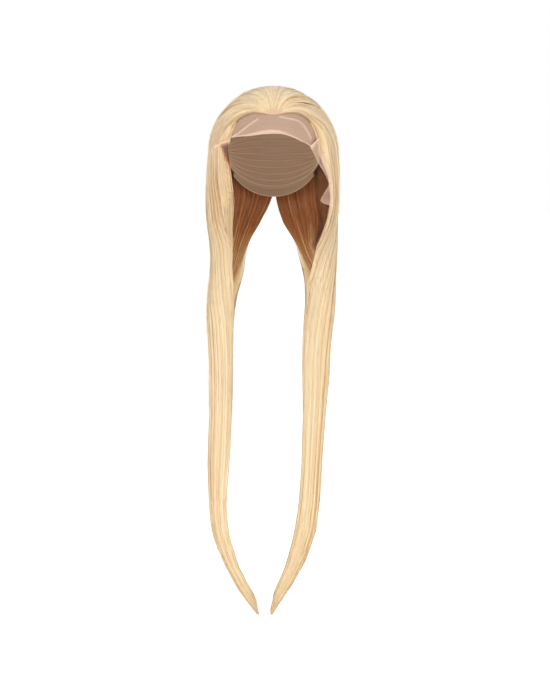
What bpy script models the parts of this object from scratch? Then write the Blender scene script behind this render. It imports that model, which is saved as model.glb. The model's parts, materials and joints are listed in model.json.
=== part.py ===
"""Lace front wig, worn shape: net cap, lace front with two side tabs, long straight hair in full-length sections.

Metres, +Z up, the wig's front faces -Y, the viewer's right is +X. The origin is the inside of the cap's crown.
Tables and sizes below are in millimetres.
"""
import math

import bmesh
import bpy

MM = 0.001

# Head form that the cap and the lace are shaped to
HEAD_CENTRE = (0.0, 0.0, -92.0)
HEAD_RADII = (74.0, 93.0, 92.0)

# Cap and lace
CAP_WALL = 1.2
LACE_WALL = 1.0
BAND_WALL = 1.8
TAB_WALL = 1.0
CAP_SIDE_DEG = 77.0
SEAM_DEG = 100.0
NAPE_DEG = 221.0
BAND_END_DEG = 230.0
BAND_SIDE_DEG = 58.0
PART_GAP = 0.3

# Hair over the crown
HAIR_CENTRE = (0.0, 10.0, -95.0)
HAIR_TOP_RADIUS = 103.6
HAIR_SIDE_RADIUS = {-1: 101.5, 1: 100.5}
HAIR_BACK_RADIUS = 98.0
ROOT_CLEARANCE = 1.5
CROWN_CLEARANCE = 3.3
ROOT_THICKNESS = 1.4
ROOT_SWELL = 1.2
ROOT_SWELL_END = 0.2
ROOT_BLEND = 0.8
ROOT_HALF_WIDTH = 12.0
SEAM_HALF_GAP = 0.2
LOCKS_PER_SECTION = 3
COLUMNS_PER_LOCK = 4
INNER_COLUMNS = 4
RIDGE_SHARE = 0.13
RIDGE_MAX = 1.6
CORE_SHARE = 0.12
CORE_MIN = 0.9

SECTIONS = (
    ("back", 0.0, 0.36),
    ("side", 0.36, 0.70),
    ("front", 0.70, 1.0),
)
CROWN_STATIONS = (0.0, 0.05, 0.11, 0.18, 0.27, 0.37, 0.48, 0.59, 0.70, 0.81, 0.91, 1.0)
FALL_STATIONS = (
    -110, -124, -138, -153, -168, -186, -205, -222, -240, -257, -275, -292, -310, -327, -345,
    -372, -405, -445, -485, -527, -571, -616, -650, -676, -700, -722, -745, -768, -790, -806, -816,
)

# Outer outline of the curtains and falls, one row per level. Columns:
# level, centre x, centre y, half width, half depth, angle at the back edge, angle at the front edge
OUTER_ROWS = {
    -1: (
        (-80, 0, 10, 100.8, 98, 180, 58),
        (-95, 0, 10, 101.5, 98, 180, 58),
        (-110, 0, 10, 103, 97, 180, 57),
        (-138, 0, 10, 105, 95.5, 179.4, 55),
        (-168, 0, 10, 105.8, 90, 177.6, 50),
        (-205, -18, 13, 86.3, 74, 177, 42),
        (-240, -43, -1, 56.5, 59, 183, 23),
        (-275, -61, -18, 37.3, 43, 204, 4),
        (-310, -78, -35, 24, 30, 245, -40),
        (-345, -82.5, -45, 20.7, 20, 262, -75),
        (-400, -82, -52, 18.5, 14, 267, -86),
        (-470, -81.6, -55, 17.4, 12, 267, -87),
        (-527, -83.9, -55, 17.0, 11, 267, -87),
        (-571, -85.7, -55, 16.9, 10, 267, -87),
        (-616, -87.5, -55, 14.2, 9, 267, -87),
        (-661, -87.7, -55, 12.5, 8, 267, -87),
        (-684, -84.3, -55, 12.7, 7.2, 267, -87),
        (-706, -79.3, -55, 11.7, 6.6, 267, -87),
        (-729, -71.5, -55, 10.6, 5.8, 267, -87),
        (-752, -60.6, -55, 10.2, 5, 267, -87),
        (-775, -49.6, -55, 9.8, 4.2, 266, -86),
        (-798, -36.6, -55, 8.0, 3.4, 264, -84),
        (-817, -26.8, -55, 3.6, 2.6, 262, -82),
    ),
    1: (
        (-80, 0, 10, 99.5, 98, 180, 58),
        (-95, 0, 10, 100.5, 98, 180, 58),
        (-110, 0, 10, 101.8, 97, 180, 60),
        (-133, 0, 10, 102.5, 96, 179.4, 64),
        (-168, 0, 10, 102.4, 90, 177.6, 66),
        (-205, 12, 13, 88.8, 75, 178, 59),
        (-240, 40, 0, 60, 61, 184, 30),
        (-275, 64, -18, 33.5, 43, 214, -10),
        (-310, 72.8, -35, 23.4, 30, 250, -62),
        (-345, 71, -45, 23, 21, 264, -80),
        (-392, 66.6, -51, 21, 15, 267, -86),
        (-439, 66, -54, 20.2, 13, 267, -87),
        (-483, 64.5, -55, 17.4, 12, 267, -87),
        (-527, 62.3, -55, 15.9, 11, 267, -87),
        (-571, 60.1, -55, 15.2, 10, 267, -87),
        (-616, 58, -55, 15.2, 9.5, 267, -87),
        (-661, 53.8, -55, 16.2, 8.5, 267, -87),
        (-684, 50.3, -55, 16.4, 7.8, 267, -87),
        (-706, 44.9, -55, 15.6, 7, 267, -87),
        (-729, 37.9, -55, 14.6, 6.2, 267, -87),
        (-752, 28, -55, 12.8, 5.2, 266, -86),
        (-775, 17.7, -55, 10.4, 4.3, 265, -85),
        (-798, 5.5, -55, 6.8, 3.4, 264, -84),
        (-817, -3.2, -55, 3.4, 2.6, 262, -82),
    ),
}

# Inner outline of the curtains, same columns, down to where the falls close to a full bundle
INNER_ROWS = {
    -1: (
        (-80, 0, 0, 76.2, 95.2, 180, 67),
        (-95, 0, 0, 76.4, 95.4, 180, 66),
        (-110, 0, 2, 75.5, 92, 180, 63),
        (-138, 0, 5, 73, 84, 179.4, 62),
        (-168, 0, 9, 70, 74, 177.6, 60),
        (-205, -18, 10, 56, 57, 177, 56),
        (-240, -43, -1, 30, 34, 183, 42),
        (-275, -61, -18, 13, 16, 204, 18),
        (-310, -78, -35, 4, 5, 245, -40),
    ),
    1: (
        (-80, 0, 0, 76.2, 95.2, 180, 67),
        (-95, 0, 0, 76.4, 95.4, 180, 66),
        (-110, 0, 2, 84, 92, 180, 71),
        (-133, 0, 5, 91, 85, 179.4, 79),
        (-168, 0, 9, 91.5, 74, 177.6, 82),
        (-205, 12, 10, 78, 58, 178, 71),
        (-240, 40, 0, 31, 35, 184, 60),
        (-275, 64, -18, 12, 16, 214, 8),
        (-310, 72.8, -35, 4, 5, 250, -62),
    ),
}

# Lace front, one row per column of the net from left to right. Columns:
# free edge x, free edge z, hairline x, hairline z, side angle where it meets the cap seam
LACE_COLUMNS = (
    (-65.2, -73.5, -68.0, -62.5, -76.0),
    (-57.5, -71.9, -60.5, -55.0, -64.0),
    (-49.0, -71.4, -52.5, -48.0, -52.0),
    (-35.2, -70.7, -41.0, -40.0, -37.0),
    (-23.1, -69.3, -27.0, -36.5, -24.0),
    (-11.1, -68.2, -13.0, -37.0, -12.0),
    (0.8, -67.7, 0.0, -38.0, 0.0),
    (12.8, -68.2, 14.3, -36.0, 12.0),
    (21.7, -70.5, 27.0, -35.0, 24.0),
    (30.8, -73.7, 38.0, -38.5, 37.0),
    (39.9, -78.1, 50.0, -47.5, 52.0),
    (48.5, -81.5, 59.0, -56.5, 64.0),
    (55.5, -86.0, 66.5, -64.0, 76.0),
)
LACE_EDGE_ROWS = 4
LACE_COVERED_ROWS = 4

# Side tabs of lace, one row per level. Columns: x and z of the face edge, x and z of the hair edge, y of both
LEFT_TAB_ROWS = (
    (-66.2, -74.5, -94.4, -86.5, -43.0, -40.0),
    (-64.0, -90.0, -93.0, -99.0, -42.0, -41.5),
    (-63.0, -105.0, -91.6, -112.0, -42.0, -43.5),
    (-64.0, -120.0, -87.0, -125.0, -41.5, -45.5),
    (-67.0, -134.0, -83.5, -137.0, -40.5, -46.0),
    (-70.0, -150.0, -81.0, -152.0, -41.0, -46.5),
    (-72.5, -167.0, -79.3, -168.0, -43.0, -48.0),
    (-73.8, -192.0, -78.4, -193.0, -46.0, -46.5),
    (-74.7, -216.0, -77.8, -216.0, -47.5, -46.5),
)
RIGHT_TAB_ROWS = (
    (55.4, -86.6, 70.0, -73.0, -62.9, -45.0),
    (60.9, -95.7, 72.0, -88.5, -54.5, -44.5),
    (65.5, -105.0, 77.5, -101.0, -49.0, -42.5),
    (71.2, -115.2, 82.9, -112.0, -46.0, -41.5),
    (77.0, -124.0, 87.0, -124.0, -43.5, -39.0),
    (81.8, -134.0, 89.5, -136.0, -41.5, -36.0),
    (85.2, -143.0, 90.5, -145.0, -40.0, -34.0),
    (79.0, -155.0, 91.0, -157.0, -39.5, -33.0),
    (72.5, -167.0, 91.5, -169.0, -39.0, -32.0),
    (78.0, -172.5, 91.5, -174.0, -38.0, -32.0),
    (86.5, -175.0, 91.5, -179.0, -36.0, -32.0),
)
TAB_COLUMNS = 4
TAB_BULGE = 2.0


def unit(v):
    length = math.sqrt(v[0] * v[0] + v[1] * v[1] + v[2] * v[2])
    return (v[0] / length, v[1] / length, v[2] / length)


def mix(a, b, t):
    return tuple(p + (q - p) * t for p, q in zip(a, b))


def head_point(q, offset):
    """A point of the head form in unit direction q, standing off by offset."""
    return tuple(c + (r + offset) * n for c, r, n in zip(HEAD_CENTRE, HEAD_RADII, q))


def row_at(rows, z):
    """Smooth reading of a table at level z."""
    if z >= rows[0][0]:
        return rows[0][1:]
    if z <= rows[-1][0]:
        return rows[-1][1:]
    i = 0
    while rows[i + 1][0] > z:
        i += 1
    before = rows[max(i - 1, 0)]
    low = rows[i]
    high = rows[i + 1]
    after = rows[min(i + 2, len(rows) - 1)]
    span = high[0] - low[0]
    t = (z - low[0]) / span
    values = []
    for k in range(1, len(low)):
        slope_in = (high[k] - before[k]) / (high[0] - before[0]) * span
        slope_out = (after[k] - low[k]) / (after[0] - low[0]) * span
        a = 2 * t ** 3 - 3 * t ** 2 + 1
        b = t ** 3 - 2 * t ** 2 + t
        c = -2 * t ** 3 + 3 * t ** 2
        d = t ** 3 - t ** 2
        values.append(a * low[k] + b * slope_in + c * high[k] + d * slope_out)
    return tuple(values)


def outline_point(side, u, z, row):
    """Point u of an outline: 0 at the back edge, 1 at the face edge."""
    angle = math.radians(row[4] + (row[5] - row[4]) * u)
    return (row[0] + side * row[2] * math.sin(angle), row[1] - row[3] * math.cos(angle), z)


def flow_direction(side, u, s, brim_angle):
    """Unit direction of a strand over the crown: s is 0 at the root, 1 at the brim."""
    angle = math.radians(180.0 + (brim_angle - 180.0) * u)
    root = unit((side * ROOT_HALF_WIDTH / 75.0 * u, -0.80, 0.585))
    middle = (side * 1.02 * u, 0.25 - 0.85 * u, 1.35 - 0.53 * u)
    brim = (side * math.sin(angle), -math.cos(angle), 0.0)
    weights = ((1 - s) ** 2, 2 * s * (1 - s), s * s)
    return unit(tuple(weights[0] * a + weights[1] * b + weights[2] * c for a, b, c in zip(root, middle, brim)))


def inner_stand(s):
    """Clearance between the head form and the hair's inner surface."""
    return ROOT_CLEARANCE + (CROWN_CLEARANCE - ROOT_CLEARANCE) * min(1.0, 6.0 * s)


def crown_outer(side, u, s):
    q = flow_direction(side, u, s, 58.0)
    power = 5.0 - 3.9 * u
    lift = 1.0 - (1.0 - s) ** power
    near = tuple(r + ROOT_CLEARANCE + ROOT_THICKNESS for r in HEAD_RADII)
    far = (HAIR_SIDE_RADIUS[side], HAIR_BACK_RADIUS, HAIR_TOP_RADIUS)
    radii = mix(near, far, lift)
    centre = mix(HEAD_CENTRE, HAIR_CENTRE, lift)
    reach = tuple(c + r * n - h for c, r, n, h in zip(centre, radii, q, HEAD_CENTRE))
    length = math.sqrt(sum(d * d for d in reach))
    head = length / math.sqrt(sum((d / r) ** 2 for d, r in zip(reach, HEAD_RADII)))
    height = length - head
    least = inner_stand(s) + ROOT_THICKNESS + ROOT_SWELL * min(1.0, s / ROOT_SWELL_END)
    raised = (height + least + math.hypot(height - least, ROOT_BLEND)) / 2
    return tuple(h + d * (head + raised) / length for h, d in zip(HEAD_CENTRE, reach))


def crown_inner(side, u, s):
    point = head_point(flow_direction(side, u, s, 66.0), inner_stand(s))
    drop = (-95.0 - HEAD_CENTRE[2]) * s ** 6
    return (point[0], point[1], point[2] + drop)


def hair_outer(side, u, station):
    if station[0] == "crown":
        return crown_outer(side, u, station[1])
    return outline_point(side, u, station[1], row_at(OUTER_ROWS[side], station[1]))


def hair_inner(side, u, station):
    if station[0] == "crown":
        return crown_inner(side, u, station[1])
    z = station[1]
    rows = INNER_ROWS[side]
    if z >= rows[-1][0]:
        return outline_point(side, u, z, row_at(rows, z))
    row = row_at(OUTER_ROWS[side], z)
    share = max(CORE_SHARE, CORE_MIN / row[3])
    inner = (row[0], row[1], row[2] * share, row[3] * share, row[4], row[5])
    return outline_point(side, u, z, inner)


def across(side, u, station):
    """Unit direction across the strands, towards the face edge."""
    step = 0.01
    low = hair_outer(side, max(u - step, 0.0), station)
    high = hair_outer(side, min(u + step, 1.0), station)
    return unit(tuple(b - a for a, b in zip(low, high)))


def section_ring(side, u0, u1, station):
    """Closed ring of one hair section at one station: outer points, then inner points back."""
    outer_count = LOCKS_PER_SECTION * COLUMNS_PER_LOCK
    outer = []
    for i in range(outer_count + 1):
        t = i / outer_count
        u = u0 + (u1 - u0) * t
        far = hair_outer(side, u, station)
        near = hair_inner(side, u, station)
        depth = tuple(a - b for a, b in zip(far, near))
        thickness = math.sqrt(sum(c * c for c in depth))
        ridge = min(RIDGE_MAX, RIDGE_SHARE * thickness) * abs(math.sin(math.pi * LOCKS_PER_SECTION * t))
        outer.append(tuple(a + d / thickness * ridge for a, d in zip(far, depth)))
    inner = []
    for i in range(INNER_COLUMNS + 1):
        u = u0 + (u1 - u0) * i / INNER_COLUMNS
        inner.append(hair_inner(side, u, station))
    start = across(side, u0, station)
    end = across(side, u1, station)
    for points in (outer, inner):
        points[0] = tuple(p + SEAM_HALF_GAP * d for p, d in zip(points[0], start))
        points[-1] = tuple(p - SEAM_HALF_GAP * d for p, d in zip(points[-1], end))
    return outer, inner


def make_material(name, colour, roughness, sheen):
    material = bpy.data.materials.new(name)
    material.use_nodes = True
    shader = material.node_tree.nodes["Principled BSDF"]
    shader.inputs["Base Color"].default_value = (*colour, 1.0)
    shader.inputs["Roughness"].default_value = roughness
    shader.inputs["Sheen Weight"].default_value = sheen
    return material


def make_object(name, points, faces, material, smooth):
    mesh = bpy.data.meshes.new(name)
    mesh.from_pydata([tuple(c * MM for c in p) for p in points], [], faces)
    mesh.update()
    bm = bmesh.new()
    bm.from_mesh(mesh)
    bmesh.ops.recalc_face_normals(bm, faces=bm.faces)
    if bm.calc_volume(signed=True) < 0:
        bmesh.ops.reverse_faces(bm, faces=bm.faces)
    bm.to_mesh(mesh)
    bm.free()
    for polygon in mesh.polygons:
        polygon.use_smooth = smooth
    mesh.materials.append(material)
    item = bpy.data.objects.new(name, mesh)
    bpy.context.scene.collection.objects.link(item)
    return item


def hair_section(name, side, u0, u1, material):
    stations = [("crown", s) for s in CROWN_STATIONS] + [("fall", z) for z in FALL_STATIONS]
    points = []
    faces = []
    outer_count = LOCKS_PER_SECTION * COLUMNS_PER_LOCK
    ring = outer_count + 1 + INNER_COLUMNS + 1
    for station in stations:
        outer, inner = section_ring(side, u0, u1, station)
        points.extend(outer)
        points.extend(inner)
    inner_start = outer_count + 1
    for k in range(len(stations) - 1):
        a = k * ring
        b = a + ring
        for i in range(outer_count):
            faces.append((a + i, a + i + 1, b + i + 1))
            faces.append((a + i, b + i + 1, b + i))
        for i in range(INNER_COLUMNS):
            p = inner_start + i
            faces.append((a + p, b + p, b + p + 1))
            faces.append((a + p, b + p + 1, a + p + 1))
        for o, p in ((0, inner_start), (outer_count, inner_start + INNER_COLUMNS)):
            faces.append((a + o, b + o, b + p))
            faces.append((a + o, b + p, a + p))
    step = outer_count // INNER_COLUMNS
    for a in (0, (len(stations) - 1) * ring):
        for j in range(INNER_COLUMNS):
            p = a + inner_start + j
            for i in range(step * j, step * j + step):
                faces.append((p, a + i, a + i + 1))
            faces.append((p, a + step * j + step, p + 1))
    return make_object(name, points, faces, material, True)


def sheet_body(name, low, high, material):
    """Closed sheet between two grids of the same size, each a list of rows of points."""
    rows = len(low)
    columns = len(low[0])
    points = [p for row in low for p in row] + [p for row in high for p in row]
    shift = rows * columns
    faces = []
    for r in range(rows - 1):
        for c in range(columns - 1):
            a = r * columns + c
            faces.append((a, a + 1, a + columns + 1))
            faces.append((a, a + columns + 1, a + columns))
            faces.append((shift + a, shift + a + columns + 1, shift + a + 1))
            faces.append((shift + a, shift + a + columns, shift + a + columns + 1))
    border = [c for c in range(columns)]
    border += [r * columns + columns - 1 for r in range(1, rows)]
    border += [(rows - 1) * columns + c for c in range(columns - 2, -1, -1)]
    border += [r * columns for r in range(rows - 2, 0, -1)]
    for i, a in enumerate(border):
        b = border[(i + 1) % len(border)]
        faces.append((a, shift + a, shift + b))
        faces.append((a, shift + b, b))
    return make_object(name, points, faces, material, True)


def head_angle(side_deg, turn_deg, offset):
    """Head form point: side angle from the middle, turn angle from the front over the top."""
    w = math.radians(side_deg)
    t = math.radians(turn_deg)
    return head_point((math.sin(w), -math.cos(w) * math.cos(t), math.cos(w) * math.sin(t)), offset)


def head_direction(x, z):
    """Unit direction of the front of the head form seen at x, z."""
    a = x / HEAD_RADII[0]
    c = (z - HEAD_CENTRE[2]) / HEAD_RADII[2]
    b = -math.sqrt(max(1.0 - a * a - c * c, 0.02))
    return unit((a, b, c))


def cap_crown(material):
    turns = 14
    sides = 14
    grids = []
    for offset in (0.0, CAP_WALL):
        grid = []
        for i in range(turns + 1):
            turn = SEAM_DEG + PART_GAP + (NAPE_DEG - SEAM_DEG - PART_GAP) * i / turns
            row = []
            for j in range(sides + 1):
                side = -CAP_SIDE_DEG + 2 * CAP_SIDE_DEG * j / sides
                row.append(head_angle(side, turn, offset))
            grid.append(row)
        grids.append(grid)
    return sheet_body("cap_crown", grids[0], grids[1], material)


def nape_band(material):
    grids = []
    for offset in (0.0, BAND_WALL):
        grid = []
        for i in range(3):
            turn = NAPE_DEG + PART_GAP + (BAND_END_DEG - NAPE_DEG) * i / 2
            row = [head_angle(-BAND_SIDE_DEG + 2 * BAND_SIDE_DEG * j / 12, turn, offset) for j in range(13)]
            grid.append(row)
        grids.append(grid)
    return sheet_body("nape_band", grids[0], grids[1], material)


def lace_front(material):
    grids = []
    for offset in (0.0, LACE_WALL):
        grid = []
        for edge_x, edge_z, hair_x, hair_z, seam_side in LACE_COLUMNS:
            edge = head_direction(edge_x, edge_z)
            hair = head_direction(hair_x, hair_z)
            w = math.radians(seam_side)
            t = math.radians(SEAM_DEG - PART_GAP)
            seam = (math.sin(w), -math.cos(w) * math.cos(t), math.cos(w) * math.sin(t))
            column = []
            for i in range(LACE_EDGE_ROWS):
                column.append(head_point(unit(mix(edge, hair, i / LACE_EDGE_ROWS)), offset))
            for i in range(LACE_COVERED_ROWS + 1):
                column.append(head_point(unit(mix(hair, seam, i / LACE_COVERED_ROWS)), offset))
            grid.append(column)
        grids.append(grid)
    return sheet_body("lace_front", grids[0], grids[1], material)


def side_tab(name, rows, material):
    grids = []
    for offset in (0.0, -TAB_WALL):
        grid = []
        for face_x, face_z, hair_x, hair_z, face_y, hair_y in rows:
            row = []
            for i in range(TAB_COLUMNS + 1):
                t = i / TAB_COLUMNS
                bulge = TAB_BULGE * math.sin(math.pi * t) * abs(hair_x - face_x) / 28.0
                y = face_y + (hair_y - face_y) * t - bulge + offset
                row.append((face_x + (hair_x - face_x) * t, y, face_z + (hair_z - face_z) * t))
            grid.append(row)
        grids.append(grid)
    return sheet_body(name, grids[0], grids[1], material)


def main():
    for item in list(bpy.data.objects):
        bpy.data.objects.remove(item, do_unlink=True)
    cap_cloth = make_material("cap_net", (0.62, 0.44, 0.30), 0.8, 0.3)
    band_cloth = make_material("elastic_band", (0.55, 0.39, 0.27), 0.7, 0.3)
    lace_cloth = make_material("lace_net", (0.86, 0.72, 0.64), 0.7, 0.2)
    left_cloth = make_material("lace_tab_left", (0.86, 0.72, 0.64), 0.7, 0.2)
    right_cloth = make_material("lace_tab_right", (0.86, 0.72, 0.64), 0.7, 0.2)
    cap_crown(cap_cloth)
    nape_band(band_cloth)
    lace_front(lace_cloth)
    side_tab("ear_tab_left", LEFT_TAB_ROWS, left_cloth)
    side_tab("ear_tab_right", RIGHT_TAB_ROWS, right_cloth)
    for side, word in ((-1, "left"), (1, "right")):
        for place, u0, u1 in SECTIONS:
            name = f"hair_{place}_{word}"
            shade = 0.04 * SECTIONS.index((place, u0, u1))
            strands = make_material(f"{name}_strands", (0.80 + shade, 0.62 + shade, 0.36 + shade), 0.45, 0.2)
            hair_section(name, side, u0, u1, strands)


main()
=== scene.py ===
"""Looks of the lace front wig: fine hair strands in locks, sheer lace, net cap, plain studio stage.

Run as a script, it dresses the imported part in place. Lengths are metres, and the tables are in millimetres.
A side is -1 for the left and 1 for the right. A place in the hair is u and v: u runs across one side from the
back to the front edge, and v runs along the strands, 0 to 1 over the crown and then metres below the brim.
"""
import json
import math

import bmesh
import bpy
import numpy as np
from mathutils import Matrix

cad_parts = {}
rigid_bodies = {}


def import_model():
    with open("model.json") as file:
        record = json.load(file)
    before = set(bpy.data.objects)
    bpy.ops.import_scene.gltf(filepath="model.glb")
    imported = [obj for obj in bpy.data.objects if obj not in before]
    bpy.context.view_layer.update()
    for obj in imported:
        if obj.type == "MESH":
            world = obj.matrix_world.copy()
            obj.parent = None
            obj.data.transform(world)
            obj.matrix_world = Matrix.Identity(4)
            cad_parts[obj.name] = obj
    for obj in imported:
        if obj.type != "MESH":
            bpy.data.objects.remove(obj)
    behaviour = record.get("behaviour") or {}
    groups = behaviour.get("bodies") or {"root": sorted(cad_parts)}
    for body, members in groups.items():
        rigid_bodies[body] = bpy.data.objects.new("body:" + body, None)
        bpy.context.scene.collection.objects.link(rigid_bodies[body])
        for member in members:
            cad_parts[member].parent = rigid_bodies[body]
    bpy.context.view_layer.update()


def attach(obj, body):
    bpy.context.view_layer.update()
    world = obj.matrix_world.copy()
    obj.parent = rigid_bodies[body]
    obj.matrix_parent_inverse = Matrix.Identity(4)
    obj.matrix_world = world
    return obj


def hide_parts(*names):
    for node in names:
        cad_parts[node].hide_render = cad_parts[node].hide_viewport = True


bl_info = {
    "name": "Lace Front Wig",
    "version": (1, 0, 0),
    "blender": (4, 5, 0),
    "location": "3D View > Sidebar > Wig",
    "description": "Dresses the wig's cap, lace and hair sections and sets its studio stage",
    "category": "Object",
}

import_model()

MM = 0.001
TURN = 6.28
TINY = 1e-9

# Form that the cap and the lace are shaped to, and the places of the cap's edges on it
FORM_CENTRE = np.array((0.0, 0.0, -92.0))
FORM_RADII = np.array((74.0, 93.0, 92.0))
CAP_SKINS = (0.15, 1.1)
CAP_GRID = (90, 70)
CAP_SIDE_DEG = 77.0
SEAM_DEG = 100.0
NAPE_DEG = 221.0
EDGE_GAP_DEG = 0.3

# Sewn rows inside the cap, and the rows along its two side edges
WEFT_STEPS = 60
WEFT_SIDES = 8
WEFT_STAND = -0.35
WEFT_RIB = 0.0012
WEFT_SIDE_DEG = CAP_SIDE_DEG - 2.5
WEFT_TURN_DEG = (SEAM_DEG + 5.0, NAPE_DEG - 4.0)
EDGE_ROW_SIDE_DEG = CAP_SIDE_DEG - 0.6
EDGE_ROW_TURN_DEG = (SEAM_DEG + 1.0, NAPE_DEG - 1.0)

# Ribbed elastic at the nape
BAND_END_DEG = 230.0
BAND_SIDE_DEG = 58.0
BAND_SKINS = (0.1, 1.6)
BAND_GRID = (14, 260)
BAND_COLOUR = (0.62, 0.45, 0.31)
RIB_HEIGHT = 0.12
RIB_INSIDE_SHARE = 0.3
RIBS_PER_RADIAN = 150.0
ELASTIC_RIB = 0.0010

# Hair over the crown: its outer form, and how far roots and strands stand off the cap's form
HAIR_CENTRE = np.array((0.0, 10.0, -95.0))
HAIR_TOP_RADIUS = 103.6
HAIR_SIDE_RADIUS = {-1: 101.5, 1: 100.5}
HAIR_BACK_RADIUS = 98.0
ROOT_STAND = 1.2
ROOT_CLEARANCE = 1.5
CROWN_CLEARANCE = 3.3
CLEARANCE_RISE = 6.0
ROOT_THICKNESS = 1.4
ROOT_SWELL = 1.2
ROOT_SWELL_END = 0.2
ROOT_BLEND = 0.8
LIFT_POWERS = (5.0, 1.1)

# Way of the strands over the crown: where they aim at the root and half way, and where they meet the brim
ROOT_AIM = np.array((0.16, -0.80, 0.585))
HALF_WAY_AIM_BACK = np.array((0.0, 0.25, 1.35))
HALF_WAY_AIM_FRONT = np.array((1.02, -0.60, 0.82))
OUTER_BRIM_DEG = 58.0
INNER_BRIM_DEG = 66.0
BRIM_LEVEL = -95.0
BRIM_POWER = 6
LOWEST_ROOT_V = -0.06
TIP_V = 1.728

# Locks and the finer clumps in them: their widths, tones, heights and relief
LOCK_WIDTHS = (0.5, 1.5)
LOCK_TONE = 0.085
LOCK_HEIGHT = 0.5
CLUMPS_PER_LOCK = 4
CLUMP_TONE = 0.16
CREST_HEIGHT = 0.9
CREST_SINK = 0.35
CREST_WAVE = (0.5, 4.0)
RELIEF_SHARE = 0.09
RELIEF_LIMITS = (0.06, 1.2)

# How strands gather into locks and stray from them. A wave is its size and its radians per unit of v
GATHER_V = (0.25, 1.05)
LOCK_PULL = 0.14
CLUMP_PULL_ROOT = 0.25
CLUMP_PULL_MORE = 0.35
LOCK_WAVE = (0.10, 5.0)
SIDE_WAVES = ((0.50, 8.0), (0.25, 17.0))
OUT_WAVE = (0.16, 11.0)
TILT_WAVE = (0.20, 6.0)
TILT_SPREAD = 0.30
STRAY_RUN = 0.20
STRAY_SHARE = 0.2
STRAY_LIMITS = (0.1, 1.0)
ROOT_DEPTH = 1.15
ROOT_DEPTH_RUN = 0.05
LINING_DEPTH = 0.8
LINING_DEPTH_SHARE = 0.3
LEAST_THICKNESS = 0.05

# Width of a strand along its run: narrower at the root, and tapered to the tip
ROOT_TAPER = (-0.09, 0.11)
TIP_TAPER = 0.10
TIP_TAPER_POWER = 0.6
LEAST_WIDTH = 0.05

# Tone of the strands, from 0 for the deepest to 1 for the lightest
MEAN_TONE = 0.60
STRAND_TONE = 0.10
# Deeper strands are drawn darker, and hairs standing off the surface lighter: painted shade
DEPTH_PAINTED_SHADE = 0.16
TONE_WAVE = (0.10, 7.0)
# Lower ends drawn darker: painted shade
TIP_PAINTED_SHADE = 0.15
TIP_PAINTED_SHADE_V = (1.40, 1.60)
GOLDEN_TONE = 0.14
# Painted shade on the front of the curtains about one level, much stronger on the left: amount by side,
# level, height and the depths over which it comes in
GOLDEN_PAINTED_SHADE = {-1: 0.66, 1: 0.16}
GOLDEN_LEVEL = -165.0
GOLDEN_HEIGHT = 48.0
GOLDEN_DEPTHS = (30.0, -30.0)
# The inside is drawn darker, more so towards the top: painted shade
LINING_TONE_SHARE = 0.5
LINING_TONE = 0.06
LINING_PAINTED_SHADE = 0.52
LINING_PAINTED_SHADE_LEVELS = (-320.0, -180.0)
THIN_STRAND_TONE = 0.05

# Parting line in the right side's crown: a shallow groove, with painted shade in it
PARTING_U = 0.64
PARTING_HALF = 0.014
PARTING_V = 0.40
PARTING_LENGTH = 0.15
PARTING_DEPTH = 1.0
PARTING_PAINTED_SHADE = 0.85

# Closed body under the strands
BODY_V = (0.03, 1.70)
BODY_ROWS = (28, 69)
BODY_COLUMNS = (28, 12)
# The body's tones, outside and inside, are darker than the strands: painted shade
BODY_PAINTED_SHADE_TONES = (0.42, 0.12)
BODY_DEPTH = 1.3
BODY_DEPTH_SHARE = 0.45
BODY_THIN_MORE = 3.0
BODY_THIN_V = (1.52, 1.68)
BODY_RELIEF_SHARE = 0.3
BODY_INSIDE_SHARE = 0.05
BODY_EDGE_INSET = 0.25
LINING_SHIFT = 0.15

# Hair ends fan out to an upright cut edge on the inner side: level of the widest place, by side
FAN_LEVEL = {-1: -799.0, 1: -789.0}
FAN_REACH = 12.0
FAN_SPREAD = 4.0

# Painted shade of the hollow under the left end of the lace, where the locks fold back: x and z of its two
# ends, its soft side, where its shade comes and goes along it, and how far above its end it fades on the
# closed body
HOLLOW_TOP = (-83.5, -84.0)
HOLLOW_END = (-64.0, -126.0)
HOLLOW_SOFT = 5.0
HOLLOW_RISE = (-0.15, 1 / 60)
HOLLOW_FALL = (1.25, 1.0)
HOLLOW_BODY_FADE = (14.0, 28.0)

SIDES = (("left", -1), ("right", 1))
SECTIONS = (("back", 0.0, 0.36), ("side", 0.36, 0.70), ("front", 0.70, 1.0))

# Below the inner outline the falls have a thin core: its share of the outer one, and its least half depth
CORE_SHARE = 0.12
CORE_MIN = 0.9
LEVELS = np.arange(-80.0, -825.0, -1.0)

# Depths below the crown at which a strand has a point, and the same as shares of the way from brim to tip
FALL_DEPTHS = np.array((118, 142, 165, 186, 204, 220, 236, 252, 268, 285, 305, 330, 365, 420, 500, 580, 640,
                        690, 740, 780, 817))
FALL_SHARES = (FALL_DEPTHS + BRIM_LEVEL) / (FALL_DEPTHS[-1] + BRIM_LEVEL)

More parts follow.
